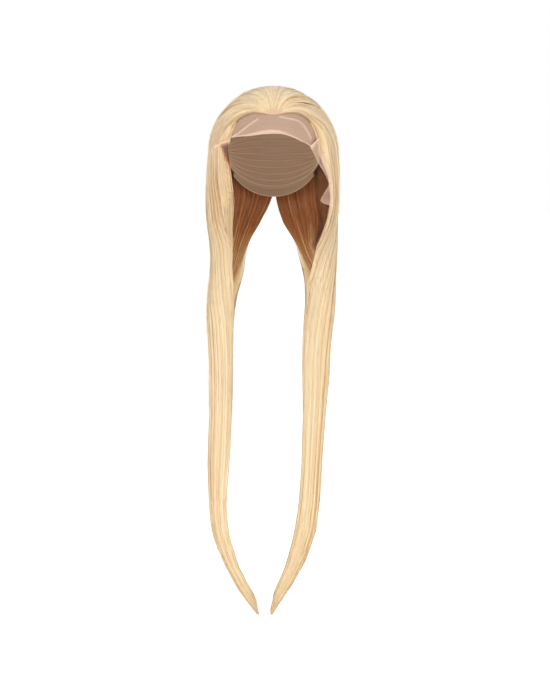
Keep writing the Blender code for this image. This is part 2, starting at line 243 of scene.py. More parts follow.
# Outer outline of the curtains and falls, one row per level. Columns:
# level, centre x, centre y, half width, half depth, angle at the back edge, angle at the front edge
OUTER_ROWS = {
    -1: (
        (-80, 0, 10, 100.8, 98, 180, 58),
        (-95, 0, 10, 101.5, 98, 180, 58),
        (-110, 0, 10, 103, 97, 180, 57),
        (-138, 0, 10, 105, 95.5, 179.4, 55),
        (-168, 0, 10, 105.8, 90, 177.6, 50),
        (-205, -18, 13, 86.3, 74, 177, 42),
        (-240, -43, -1, 56.5, 59, 183, 23),
        (-275, -61, -18, 37.3, 43, 204, 4),
        (-310, -78, -35, 24, 30, 245, -40),
        (-345, -82.5, -45, 20.7, 20, 262, -75),
        (-400, -82, -52, 18.5, 14, 267, -86),
        (-470, -81.6, -55, 17.4, 12, 267, -87),
        (-527, -83.9, -55, 17.0, 11, 267, -87),
        (-571, -85.7, -55, 16.9, 10, 267, -87),
        (-616, -87.5, -55, 14.2, 9, 267, -87),
        (-661, -87.7, -55, 12.5, 8, 267, -87),
        (-684, -84.3, -55, 12.7, 7.2, 267, -87),
        (-706, -79.3, -55, 11.7, 6.6, 267, -87),
        (-729, -71.5, -55, 10.6, 5.8, 267, -87),
        (-752, -60.6, -55, 10.2, 5, 267, -87),
        (-775, -49.6, -55, 9.8, 4.2, 266, -86),
        (-798, -36.6, -55, 8.0, 3.4, 264, -84),
        (-817, -26.8, -55, 3.6, 2.6, 262, -82),
        (-824, -23.8, -55, 0.9, 0.8, 262, -82),
    ),
    1: (
        (-80, 0, 10, 99.5, 98, 180, 58),
        (-95, 0, 10, 100.5, 98, 180, 58),
        (-110, 0, 10, 101.8, 97, 180, 60),
        (-133, 0, 10, 102.5, 96, 179.4, 64),
        (-168, 0, 10, 102.4, 90, 177.6, 66),
        (-205, 12, 13, 88.8, 75, 178, 59),
        (-240, 40, 0, 60, 61, 184, 30),
        (-275, 64, -18, 33.5, 43, 214, -10),
        (-310, 72.8, -35, 23.4, 30, 250, -62),
        (-345, 71, -45, 23, 21, 264, -80),
        (-392, 66.6, -51, 21, 15, 267, -86),
        (-439, 66, -54, 20.2, 13, 267, -87),
        (-483, 64.5, -55, 17.4, 12, 267, -87),
        (-527, 62.3, -55, 15.9, 11, 267, -87),
        (-571, 60.1, -55, 15.2, 10, 267, -87),
        (-616, 58, -55, 15.2, 9.5, 267, -87),
        (-661, 53.8, -55, 16.2, 8.5, 267, -87),
        (-684, 50.3, -55, 16.4, 7.8, 267, -87),
        (-706, 44.9, -55, 15.6, 7, 267, -87),
        (-729, 37.9, -55, 14.6, 6.2, 267, -87),
        (-752, 28, -55, 12.8, 5.2, 266, -86),
        (-775, 17.7, -55, 10.4, 4.3, 265, -85),
        (-798, 5.5, -55, 6.8, 3.4, 264, -84),
        (-817, -3.2, -55, 3.4, 2.6, 262, -82),
        (-824, -3.4, -55, 0.9, 0.8, 262, -82),
    ),
}

# Inner outline of the curtains, same columns, down to where the falls close to a full bundle
INNER_ROWS = {
    -1: (
        (-80, 0, 0, 76.2, 95.2, 180, 67),
        (-95, 0, 0, 76.4, 95.4, 180, 66),
        (-110, 0, 2, 75.5, 92, 180, 63),
        (-138, 0, 5, 73, 84, 179.4, 62),
        (-168, 0, 9, 70, 74, 177.6, 60),
        (-205, -18, 10, 56, 57, 177, 56),
        (-240, -43, -1, 30, 34, 183, 42),
        (-275, -61, -18, 13, 16, 204, 18),
        (-310, -78, -35, 4, 5, 245, -40),
    ),
    1: (
        (-80, 0, 0, 76.2, 95.2, 180, 67),
        (-95, 0, 0, 76.4, 95.4, 180, 66),
        (-110, 0, 2, 84, 92, 180, 71),
        (-133, 0, 5, 91, 85, 179.4, 79),
        (-168, 0, 9, 91.5, 74, 177.6, 82),
        (-205, 12, 10, 78, 58, 178, 71),
        (-240, 40, 0, 31, 35, 184, 60),
        (-275, 64, -18, 12, 16, 214, 8),
        (-310, 72.8, -35, 4, 5, 250, -62),
    ),
}

# Lace front, one row per column of the net from left to right. Columns:
# free edge x, free edge z, hairline x, hairline z, side angle where it meets the cap seam, hem height
LACE_COLUMNS = np.array((
    (-65.2, -73.5, -68.0, -62.5, -76.0, 1.5),
    (-57.5, -71.9, -60.5, -55.0, -64.0, 2.0),
    (-49.0, -71.4, -52.5, -48.0, -52.0, 2.5),
    (-35.2, -70.7, -41.0, -40.0, -37.0, 3.5),
    (-23.1, -69.3, -27.0, -36.5, -24.0, 5.0),
    (-11.1, -68.2, -13.0, -37.0, -12.0, 6.0),
    (0.8, -67.7, 0.0, -38.0, 0.0, 6.0),
    (12.8, -68.2, 14.3, -36.0, 12.0, 4.5),
    (21.7, -70.5, 27.0, -35.0, 24.0, 3.0),
    (30.8, -73.7, 38.0, -38.5, 37.0, 2.5),
    (39.9, -78.1, 50.0, -47.5, 52.0, 2.0),
    (48.5, -81.5, 59.0, -56.5, 64.0, 1.5),
    (55.5, -86.0, 66.5, -64.0, 76.0, 1.5),
))

# Folds that show in the stretched lace, seen from the front: x and z of each point along them
LACE_FOLDS = (
    ((-63.0, -72.0), (-52.0, -66.0), (-40.0, -57.0), (-24.0, -46.0)),
    ((9.5, -42.0), (23.0, -45.0), (33.0, -46.5), (42.0, -51.5), (48.5, -59.0), (52.5, -67.0), (56.0, -74.0)),
)

# Side tabs of lace, one row per level. Columns:
# near edge x, near edge z, far edge x, far edge z, near edge y, far edge y
LEFT_TAB_ROWS = (
    (-66.2, -74.5, -94.4, -86.5, -43.0, -40.0),
    (-64.0, -90.0, -93.0, -99.0, -42.0, -41.5),
    (-63.0, -105.0, -91.6, -112.0, -42.0, -43.5),
    (-64.0, -120.0, -87.0, -125.0, -41.5, -45.5),
    (-67.0, -134.0, -83.5, -137.0, -40.5, -46.0),
    (-70.0, -150.0, -81.0, -152.0, -41.0, -46.5),
    (-72.5, -167.0, -79.3, -168.0, -43.0, -48.0),
    (-73.8, -192.0, -78.4, -193.0, -46.0, -46.5),
    (-74.7, -216.0, -77.8, -216.0, -47.5, -46.5),
)
RIGHT_TAB_ROWS = (
    (55.4, -86.6, 70.0, -73.0, -62.9, -45.0),
    (60.9, -95.7, 72.0, -88.5, -54.5, -44.5),
    (65.5, -105.0, 77.5, -101.0, -49.0, -42.5),
    (71.2, -115.2, 82.9, -112.0, -46.0, -41.5),
    (77.0, -124.0, 87.0, -124.0, -43.5, -39.0),
    (81.8, -134.0, 89.5, -136.0, -41.5, -36.0),
    (85.2, -143.0, 90.5, -145.0, -40.0, -34.0),
    (79.0, -155.0, 91.0, -157.0, -39.5, -33.0),
    (72.5, -167.0, 91.5, -169.0, -39.0, -32.0),
    (78.0, -172.5, 91.5, -174.0, -38.0, -32.0),
    (86.5, -175.0, 91.5, -179.0, -36.0, -32.0),
)

# Lace front: columns and rows of its grid, bare and covered by hair, its hem and how much its net covers
LACE_GRID = (160, 33, 26)
LACE_FADE_ROWS = 6
LACE_BASE = 0.45
LACE_EDGE_WIDTH = 0.9
LACE_FOLD_WIDTH = 1.5
HEM_THICKNESS = 0.55
HEM_SOFT = 1.2
FRONT_COVER = 0.46
HEM_COVER = 0.42
HEM_EDGE_COVER = 0.25
FOLD_COVER = 0.34

# Loose side tabs by name, CAD node, rows and seed of their waves
TABS = (
    ("lace_tab_left", "ear_tab_left", LEFT_TAB_ROWS, 5),
    ("lace_tab_right", "ear_tab_right", RIGHT_TAB_ROWS, 6),
)

# Their shallow bulge, how much their net covers, and the taut band along their top
TAB_GRID = (90, 28)
TAB_BULGE = 1 / 14
TAB_FORWARD = 0.5
TAB_COVER = 0.62
TAB_RIM_COVER = 0.45
LEFT_TAB_COVER = 0.30
LEFT_TAB_SHEER = (-0.05 / 1.3, 0.95 / 1.3)
RIGHT_TAB_COVER = 0.66
TAUT_COVER = 0.66
TAUT_WIDTH = (5.52, 2.30)
TAUT_LIFT = (0.0, -0.8, 0.9)
LEFT_TAUT_END = 0.75

# Studio: camera, floor, and lights by name, place, size, the power that drives each and its share of it
CAMERA_PLACE = (0.0023, -2.2, -0.12)
CAMERA_LENS = 71.8
CAMERA_DOWN_DEG = 7.381
FLOOR_REACH = 30.0
LIGHT_AIM = (0.0, 0.0, -0.30)
LIGHTS = (
    ("key_light", (-1.3, -2.2, 0.9), 1.4, "key_power", 1.0),
    ("fill_light", (1.5, -2.0, 0.5), 1.6, "fill_power", 1.0),
    ("top_light", (0.0, -0.9, 1.5), 1.2, "key_power", 0.8),
    ("floor_light", (0.0, -1.6, -0.95), 1.0, "fill_power", 0.10),
)


# Sizes and colours that a user would change

class WigHairProps(bpy.types.PropertyGroup):
    surface_strands: bpy.props.IntProperty(
        name="Surface Strands", description="Strands on the outside of each hair section",
        default=1400, min=10)
    lining_strands: bpy.props.IntProperty(
        name="Lining Strands", description="Strands on the inside of each curtain", default=360, min=10)
    edge_strands: bpy.props.IntProperty(
        name="Edge Strands", description="Strands on a section's open edge", default=330, min=10)
    baby_hairs: bpy.props.IntProperty(
        name="Baby Hairs", description="Finest strands along each side of the hairline", default=170, min=10)
    loose_hairs: bpy.props.IntProperty(
        name="Loose Hairs", description="Single hairs that stray off each section", default=260, min=10)
    strand_width: bpy.props.FloatProperty(
        name="Strand Width", description="Width of one fine lock of strands", default=0.00065, min=0.0001,
        unit="LENGTH")
    lock_count: bpy.props.IntProperty(
        name="Locks", description="Locks across each side of the hair", default=26, min=3)
    light_colour: bpy.props.FloatVectorProperty(
        name="Light Strands", description="Colour of the lightest strands", default=(0.93, 0.78, 0.53),
        subtype="COLOR", min=0, max=1)
    middle_colour: bpy.props.FloatVectorProperty(
        name="Middle Strands", description="Main colour of the hair", default=(0.85, 0.65, 0.39),
        subtype="COLOR", min=0, max=1)
    golden_colour: bpy.props.FloatVectorProperty(
        name="Golden Strands", description="Colour of the darker streaks on the outside",
        default=(0.76, 0.53, 0.25), subtype="COLOR", min=0, max=1)
    # Deep colour: painted shade deep in the hair, with a warm painted bounce of light
    painted_shade_colour: bpy.props.FloatVectorProperty(
        name="Deep Strands", description="Colour of the strands deep in the hair",
        default=(0.50, 0.165, 0.045), subtype="COLOR", min=0, max=1)
    seed: bpy.props.IntProperty(name="Seed", description="Seed of the strands' small differences", default=7)


class WigLaceProps(bpy.types.PropertyGroup):
    thread_colour: bpy.props.FloatVectorProperty(
        name="Thread", description="Colour of the lace threads", default=(0.92, 0.64, 0.50), subtype="COLOR",
        min=0, max=1)
    cell: bpy.props.FloatProperty(
        name="Net Cell", description="Width of one opening of the net", default=0.0009, min=0.0002,
        unit="LENGTH")
    thread_share: bpy.props.FloatProperty(
        name="Thread Share", description="Share of a cell that its thread covers", default=0.30,
        min=0.05, max=0.9, subtype="FACTOR")
    fold_height: bpy.props.FloatProperty(
        name="Fold Height", description="Height of the taut folds in the lace", default=0.0011, min=0,
        unit="LENGTH")


class WigCapProps(bpy.types.PropertyGroup):
    net_colour: bpy.props.FloatVectorProperty(
        name="Cap Net", description="Colour of the stretch net", default=(0.76, 0.53, 0.38), subtype="COLOR",
        min=0, max=1)
    weft_colour: bpy.props.FloatVectorProperty(
        name="Wefts", description="Colour of the sewn weft tracks", default=(0.86, 0.66, 0.40),
        subtype="COLOR", min=0, max=1)
    weft_rows: bpy.props.IntProperty(
        name="Weft Rows", description="Sewn rows inside the cap", default=17, min=2)
    weft_radius: bpy.props.FloatProperty(
        name="Weft Radius", description="Half thickness of a sewn weft track", default=0.0007, min=0.0001,
        unit="LENGTH")


class WigStageProps(bpy.types.PropertyGroup):
    floor_level: bpy.props.FloatProperty(
        name="Floor Level", description="Height of the floor", default=-1.15, unit="LENGTH")
    ambient: bpy.props.FloatProperty(
        name="Ambient", description="Strength of the even white light", default=0.74, min=0)
    key_power: bpy.props.FloatProperty(
        name="Key Light", description="Power of the main soft light", default=9.3, min=0, unit="POWER")
    fill_power: bpy.props.FloatProperty(
        name="Fill Light", description="Power of the second soft light", default=6.5, min=0, unit="POWER")


# Small formulas

def unit(v):
    """Vectors of length 1 in the same directions."""
    return v / np.maximum(np.linalg.norm(v, axis=-1, keepdims=True), TINY)


def ramp(value, start, end):
    """0 up to start, 1 from end on and straight in between. It falls instead where end is below start."""
    return np.clip((value - start) / (end - start), 0.0, 1.0)


def bell(value, middle, width):
    """1 at the middle, fading out over about the width to both sides."""
    return np.exp(-((value - middle) / width) ** 2)


def swing(wave, v, phase):
    """Height of a wave at v."""
    return wave[0] * np.sin(wave[1] * v + phase)


def hermite(t, low, high, low_slope, high_slope):
    """Smooth curve from low to high at the share t of the way, with the slope at each end."""
    return ((2 * t ** 3 - 3 * t ** 2 + 1) * low + (t ** 3 - 2 * t ** 2 + t) * low_slope
            + (-2 * t ** 3 + 3 * t ** 2) * high + (t ** 3 - t ** 2) * high_slope)


def neighbours(table, i):
    """Rows before, at and after the places i, and the row after those, held at the table's ends."""
    return table[np.maximum(i - 1, 0)], table[i], table[i + 1], table[np.minimum(i + 2, len(table) - 1)]


def smooth_read(table, t):
    """Smooth reading of evenly spaced rows at positions t."""
    i = np.clip(np.floor(t).astype(int), 0, len(table) - 2)
    before, low, high, after = neighbours(table, i)
    return hermite((t - i)[:, None], low, high, (high - before) / 2, (after - low) / 2)


def level_read(rows, levels):
    """Smooth reading of a table at falling levels, held at its first and last row."""
    table = np.array(rows, float)
    levels = np.clip(levels, table[-1, 0], table[0, 0])
    i = np.clip(np.searchsorted(-table[:, 0], -levels) - 1, 0, len(table) - 2)
    before, low, high, after = neighbours(table, i)
    span = high[:, :1] - low[:, :1]
    low_slope = (high - before) / (high[:, :1] - before[:, :1]) * span
    high_slope = (after - low) / (after[:, :1] - low[:, :1]) * span
    return hermite((levels[:, None] - low[:, :1]) / span, low, high, low_slope, high_slope)[:, 1:]


# Shape rules of the hair

def dense_rows(side):
    """Both outlines of one side at every level. The inner one ends as a thin core where its table does."""
    outer = level_read(OUTER_ROWS[side], LEVELS)
    inner = level_read(INNER_ROWS[side], LEVELS)
    core = outer.copy()
    core[:, 2:4] *= np.maximum(CORE_SHARE, CORE_MIN / outer[:, 3:4])
    below = LEVELS < INNER_ROWS[side][-1][0]
    inner[below] = core[below]
    return {"outer": outer, "inner": inner}


DENSE = {side: dense_rows(side) for _, side in SIDES}


def curtain_points(side, u, z, layer):
    """Points of a curtain and its fall at level z."""
    cx, cy, rx, ry, back, front = (np.interp(-z, -LEVELS, column) for column in DENSE[side][layer].T)
    angle = np.radians(back + (front - back) * u)
    fan = FAN_SPREAD * bell(z, FAN_LEVEL[side], FAN_REACH)
    inward = 0.5 - 0.5 * np.sin(angle)
    x = cx + side * rx * np.sin(angle) - side * fan * inward
    return np.stack((x, cy - ry * np.cos(angle), z), axis=-1)


def painted_hollow_shade(points):
    """Share of painted shade, 0 to 1, for the hollow beside the left curtain's front edge."""
    run = (HOLLOW_TOP[1] - points[..., 2]) / (HOLLOW_TOP[1] - HOLLOW_END[1])
    line = HOLLOW_TOP[0] + (HOLLOW_END[0] - HOLLOW_TOP[0]) * run
    return ramp(points[..., 0], line, line + HOLLOW_SOFT) * ramp(run, *HOLLOW_RISE) * ramp(run, *HOLLOW_FALL)


def flow_direction(side, u, s, brim_deg):
    """Unit direction of a strand over the crown: s is 0 at the root, 1 at the brim."""
    angle = np.radians(180.0 + (brim_deg - 180.0) * u)
    outward = np.stack((side * u, np.ones_like(u), np.ones_like(u)), axis=-1)
    root = unit(ROOT_AIM * outward)
    half_way = HALF_WAY_AIM_BACK + (HALF_WAY_AIM_FRONT - HALF_WAY_AIM_BACK) * u[..., None]
    half_way[..., 0] *= side
    brim = np.stack((side * np.sin(angle), -np.cos(angle), np.zeros_like(u)), axis=-1)
    s = s[..., None]
    return unit((1 - s) ** 2 * root + 2 * s * (1 - s) * half_way + s * s * brim)


def clearance(s):
    """Gap between the form and the hair's inner surface."""
    return ROOT_CLEARANCE + (CROWN_CLEARANCE - ROOT_CLEARANCE) * np.minimum(1.0, CLEARANCE_RISE * s)


def form_distance(reach):
    """Length of each reach from the form's centre, and the length at which it meets the form's surface."""
    length = np.linalg.norm(reach, axis=-1)
    return length, length / np.linalg.norm(reach / FORM_RADII, axis=-1)


def crown_points(side, u, s, layer):
    """Points over the crown: s is 0 at the root, 1 at the brim."""
    if layer == "inner":
        q = flow_direction(side, u, s, INNER_BRIM_DEG)
        points = FORM_CENTRE + (FORM_RADII + clearance(s)[..., None]) * q
        points[..., 2] += (BRIM_LEVEL - FORM_CENTRE[2]) * s ** BRIM_POWER
        return points
    q = flow_direction(side, u, s, OUTER_BRIM_DEG)
    power = LIFT_POWERS[0] + (LIFT_POWERS[1] - LIFT_POWERS[0]) * np.clip(u, 0.0, 1.0)
    lift = (1.0 - (1.0 - s) ** power)[..., None]
    near = FORM_RADII + ROOT_CLEARANCE + ROOT_THICKNESS
    far = np.array((HAIR_SIDE_RADIUS[side], HAIR_BACK_RADIUS, HAIR_TOP_RADIUS))
    reach = (HAIR_CENTRE - FORM_CENTRE) * lift + (near + (far - near) * lift) * q
    length, form = form_distance(reach)
    height = length - form
    least = clearance(s) + ROOT_THICKNESS + ROOT_SWELL * np.minimum(1.0, s / ROOT_SWELL_END)
    raised = (height + least + np.hypot(height - least, ROOT_BLEND)) / 2
    return FORM_CENTRE + reach * ((form + raised) / length)[..., None]


def hair_surface(side, u, v, layer):
    """Point of a hair layer, on the crown above the brim and on the curtain below it."""
    crown = crown_points(side, u, np.clip(v, LOWEST_ROOT_V, 1.0), layer)
    fall = curtain_points(side, u, BRIM_LEVEL - np.maximum(v - 1.0, 0.0) / MM, layer)
    return np.where((v <= 1.0)[..., None], crown, fall)


def hair_frame(side, u, v):
    """Outer point, inner point, outward normal and direction across the strands."""
    step = 0.006
    across = unit(hair_surface(side, u + step, v, "outer") - hair_surface(side, u - step, v, "outer"))
    along = unit(hair_surface(side, u, v + step, "outer") - hair_surface(side, u, v - step, "outer"))
    normal = unit(np.cross(across, along)) * side
    return hair_surface(side, u, v, "outer"), hair_surface(side, u, v, "inner"), normal, across


def uneven_edges(rng, count):
    """Edges of pieces of uneven width that fill 0 to 1."""
    widths = rng.uniform(*LOCK_WIDTHS, count)
    return np.concatenate(((0.0,), np.cumsum(widths) / widths.sum()))


def between(edges, u):
    """Number, middle and half width of the lock or clump that each u lies in."""
    index = np.clip(np.searchsorted(edges, u) - 1, 0, len(edges) - 2)
    return index, (edges[index] + edges[index + 1]) / 2, (edges[index + 1] - edges[index]) / 2


class Locks:
    """Uneven locks across one side, with finer clumps in them: their edges, tones and slow drifts."""

    def __init__(self, side, count, seed):
        rng = np.random.default_rng(seed + (side > 0))
        clumps = count * CLUMPS_PER_LOCK
        self.edges = uneven_edges(rng, count)
        self.tone = rng.normal(0.0, LOCK_TONE, count)
        self.height = rng.normal(0.0, LOCK_HEIGHT, count)
        self.phase = rng.uniform(0.0, TURN, (count, 3))
        self.clump_edges = uneven_edges(rng, clumps)
        self.clump_tone = rng.normal(0.0, CLUMP_TONE, clumps)
        self.clump_phase = rng.uniform(0.0, TURN, clumps)

    def relief(self, u, v, thick):
        """Height in millimetres that a lock stands above or below the mean surface."""
        index, middle, half = between(self.edges, u)
        crest = CREST_HEIGHT * (1.0 - ((u - middle) / half) ** 2) - CREST_SINK
        uneven = self.height[index][:, None] * swing(CREST_WAVE, v, self.phase[index, 1:2])
        return np.clip(RELIEF_SHARE * thick, *RELIEF_LIMITS) * (crest[:, None] + uneven)


def body_depth(thick, v):
    """Depth in millimetres of the closed body below the mean surface. It lies deeper towards the tips."""
    return np.minimum(BODY_DEPTH * (1.0 + BODY_THIN_MORE * ramp(v, *BODY_THIN_V)), BODY_DEPTH_SHARE * thick)


def rooted(points, weight):
    """Draws points down to the lace, all the way where weight is 1."""
    reach = points - FORM_CENTRE
    length, form = form_distance(reach)
    return FORM_CENTRE + reach * (1.0 + weight * (form + ROOT_STAND - length) / length)[..., None]


# Meshes

def new_object(name, data):
    """New object of this name in the scene."""
    item = bpy.data.objects.new(name, data)
    bpy.context.scene.collection.objects.link(item)
    return item


def store(mesh, label, value):
    """Named value for every point of a mesh, read by its tree or its material."""
    layer = mesh.attributes.new(label, "FLOAT", "POINT")
    layer.data.foreach_set("value", value.astype(np.float32).ravel())


def line_mesh(name, runs):
    """Mesh of bare edges, with one polyline for each row of each run of points in millimetres."""
    edges = []
    base = 0
    for run in runs:
        count, length = run.shape[:2]
        first = (base + np.arange(count)[:, None] * length + np.arange(length - 1)).ravel()
        edges.append(np.stack((first, first + 1), axis=-1))
        base += count * length
    points = np.concatenate([run.reshape(-1, 3) for run in runs]) * MM
    mesh = bpy.data.meshes.new(name)
    mesh.vertices.add(base)
    mesh.vertices.foreach_set("co", points.astype(np.float32).ravel())
    mesh.edges.add(sum(len(run) for run in edges))
    mesh.edges.foreach_set("vertices", np.concatenate(edges).astype(np.int32).ravel())
    mesh.update()
    return mesh


def strand_mesh(name, parts):
    """Polylines of all laid strands, with what the ribbon tree and the material read from them."""
    points, facings, widths, tones, places = zip(*parts)
    mesh = line_mesh(name, points)
    facing = mesh.attributes.new("facing", "FLOAT_VECTOR", "POINT")
    vectors = np.concatenate([run.reshape(-1, 3) for run in facings])
    facing.data.foreach_set("vector", vectors.astype(np.float32).ravel())
    for label, runs in (("width", widths), ("tone", tones), ("along", places)):
        store(mesh, label, np.concatenate([run.ravel() for run in runs]))
    return mesh


def grown(name, mesh, tree, values):
    """Plain mesh object made by a tree from a mesh, with the tree's inputs set by their sockets."""
    source = new_object(name + "_source", mesh)
    modifier = source.modifiers.new("Grow", "NODES")
    modifier.node_group = tree
    for socket in tree.interface.items_tree:
        if socket.item_type == "SOCKET" and socket.in_out == "INPUT" and socket.name in values:
            modifier[socket.identifier] = values[socket.name]
    graph = bpy.context.evaluated_depsgraph_get()
    result = bpy.data.meshes.new_from_object(source.evaluated_get(graph))
    if not len(result.polygons):
        raise RuntimeError(f"{name}: the tree made no faces")
    source.modifiers.remove(modifier)
    bpy.data.objects.remove(source, do_unlink=True)
    result.name = name
    return new_object(name, result)


def grid_mesh(name, grid, material, uv=None, values=None, closed=False, rims=False, flip=False):
    """Smooth sheet from a grid of points in millimetres, with a map in metres and named values per point.

    A closed grid joins its last column to its first. Rims also bridge its first and last row, which is for a
    wall whose first half of columns is one skin and whose second half, in turned order, is the other.
    """
    rows, columns = grid.shape[:2]
    index = np.arange(rows * columns).reshape(rows, columns)
    if closed:
        index = np.concatenate((index, index[:, :1]), axis=1)
    quads = np.stack((index[:-1, :-1], index[:-1, 1:], index[1:, 1:], index[1:, :-1]), axis=-1).reshape(-1, 4)
    if rims:
        near = np.arange(columns // 2 - 1)
        far = columns - 1 - near
        for row, order in ((index[0], 1), (index[-1], -1)):
            rim = np.stack((row[near + 1], row[near], row[far], row[far - 1]), axis=-1)
            quads = np.concatenate((quads, rim[:, ::order]))
    if flip:
        quads = quads[:, ::-1]
    mesh = bpy.data.meshes.new(name)
    mesh.from_pydata((grid.reshape(-1, 3) * MM).tolist(), [], quads.tolist())
    mesh.update()
    mesh.shade_smooth()
    if uv is not None:
        layer = mesh.uv_layers.new(name="cloth")
        corner = np.empty(len(mesh.loops), np.int32)
        mesh.loops.foreach_get("vertex_index", corner)
        layer.uv.foreach_set("vector", uv.reshape(-1, 2)[corner].astype(np.float32).ravel())
    for label, value in (values or {}).items():
        store(mesh, label, value)
    mesh.materials.append(material)
    return new_object(name, mesh)


def close_ends(item):
    """Fills the two open ends of a closed grid and turns its faces outwards."""
    bm = bmesh.new()
    bm.from_mesh(item.data)
    bmesh.ops.holes_fill(bm, edges=[edge for edge in bm.edges if edge.is_boundary], sides=0)
    bmesh.ops.recalc_face_normals(bm, faces=bm.faces)
    bm.to_mesh(item.data)
    bm.free()


def arc_map(grid):
    """Map in metres from distances along a grid's rows and columns."""
    down = np.zeros(grid.shape[:2])
    right = np.zeros(grid.shape[:2])
    down[1:] = np.cumsum(np.linalg.norm(np.diff(grid, axis=0), axis=-1), axis=0)
    right[:, 1:] = np.cumsum(np.linalg.norm(np.diff(grid, axis=1), axis=-1), axis=1)
    return np.stack((right, down), axis=-1) * MM


def settle(item, node):
    """Puts a piece on its body, in place of its CAD node if it has one."""
    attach(item, "root")
    if node:
        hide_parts(node)


# Nodes

def feed(tree, node, inputs):
    """Gives inputs of a node a value, the socket of another node, or a node for its first socket."""
    for label, value in inputs.items():
        if isinstance(value, bpy.types.Node):
            value = value.outputs[0]
        if isinstance(value, bpy.types.NodeSocket):
            tree.links.new(value, node.inputs[label])
        else:
            node.inputs[label].default_value = value
    return node


def add_node(tree, kind, inputs=None, **settings):
    """New node with its settings, and with its inputs fed."""
    node = tree.nodes.new(kind)
    for label, value in settings.items():
        setattr(node, label, value)
    return feed(tree, node, inputs or {})


def new_tree(name, kind, inputs, outputs):
    """Empty node group from pairs of socket label and type, with its input sockets and its output node."""
    tree = bpy.data.node_groups.new(name, kind)
    for way, sockets in (("INPUT", inputs), ("OUTPUT", outputs)):
        for label, socket in sockets:
            tree.interface.new_socket(label, in_out=way, socket_type="NodeSocket" + socket)
    return tree, tree.nodes.new("NodeGroupInput").outputs, tree.nodes.new("NodeGroupOutput")


def shared(name, build):
    """The node group of this name, built the first time that it is asked for."""
    return bpy.data.node_groups.get(name) or build(name)


# Geometry Nodes trees

def sweep_tree(name, inputs):
    """Start of a tree that sweeps a profile along polylines."""
    sockets = (("Geometry", "Geometry"), *inputs, ("Material", "Material"))
    tree, given, end = new_tree(name, "GeometryNodeTree", sockets, (("Geometry", "Geometry"),))
    return tree, given, end, add_node(tree, "GeometryNodeMeshToCurve", {"Mesh": given["Geometry"]})


def finish_tree(tree, swept, given, end):
    """Ends a tree in smooth shading, realized instances and its material."""
    smooth = add_node(tree, "GeometryNodeSetShadeSmooth", {"Geometry": swept})
    real = add_node(tree, "GeometryNodeRealizeInstances", {"Geometry": smooth})
    paint = add_node(tree, "GeometryNodeSetMaterial", {"Geometry": real, "Material": given["Material"]})
    feed(tree, end, {"Geometry": paint})
    return tree


def ribbon_tree(name):
    """Turns polylines into flat ribbons that face the stored direction."""
    tree, given, end, curve = sweep_tree(name, (("Strand Width", "Float"),))
    facing = add_node(tree, "GeometryNodeInputNamedAttribute", {"Name": "facing"}, data_type="FLOAT_VECTOR")
    width = add_node(tree, "GeometryNodeInputNamedAttribute", {"Name": "width"}, data_type="FLOAT")
    turned = add_node(tree, "GeometryNodeSetCurveNormal", {"Curve": curve, "Normal": facing}, mode="FREE")
    profile = add_node(tree, "GeometryNodeCurvePrimitiveLine",
                       {"Start": (0.0, -0.5, 0.0), "End": (0.0, 0.5, 0.0)})
    scale = calc(tree, "MULTIPLY", width, given["Strand Width"])
    swept = add_node(tree, "GeometryNodeCurveToMesh",
                     {"Curve": turned, "Profile Curve": profile, "Scale": scale})
    return finish_tree(tree, swept, given, end)


def tube_tree(name):
    """Turns polylines into round closed tubes, for the sewn tracks."""
    tree, given, end, curve = sweep_tree(name, (("Radius", "Float"), ("Sides", "Int")))
    profile = add_node(tree, "GeometryNodeCurvePrimitiveCircle",
                       {"Resolution": given["Sides"], "Radius": given["Radius"]})
    swept = add_node(tree, "GeometryNodeCurveToMesh",
                     {"Curve": curve, "Profile Curve": profile, "Fill Caps": True})
    return finish_tree(tree, swept, given, end)


# Shader groups and materials

def calc(tree, operation, a, b, clamp=False):
    """Arithmetic on two values, kept between 0 and 1 if clamped."""
    return add_node(tree, "ShaderNodeMath", {0: a, 1: b}, operation=operation, use_clamp=clamp)


def scaled(tree, value, middle, factor, clamp=False):
    """Distance of a value from the middle, times a factor."""
    return calc(tree, "MULTIPLY", calc(tree, "SUBTRACT", value, middle), factor, clamp)


def mix_colour(tree, factor, a, b):
    """Colour a where the factor is 0 and b where it is 1."""
    return add_node(tree, "ShaderNodeMix", {0: factor, 6: a, 7: b}, data_type="RGBA").outputs[2]


def four(colour, share=1.0):
    """Colour with its strength scaled and with full cover."""
    return (*(min(1.0, c * share) for c in colour), 1.0)


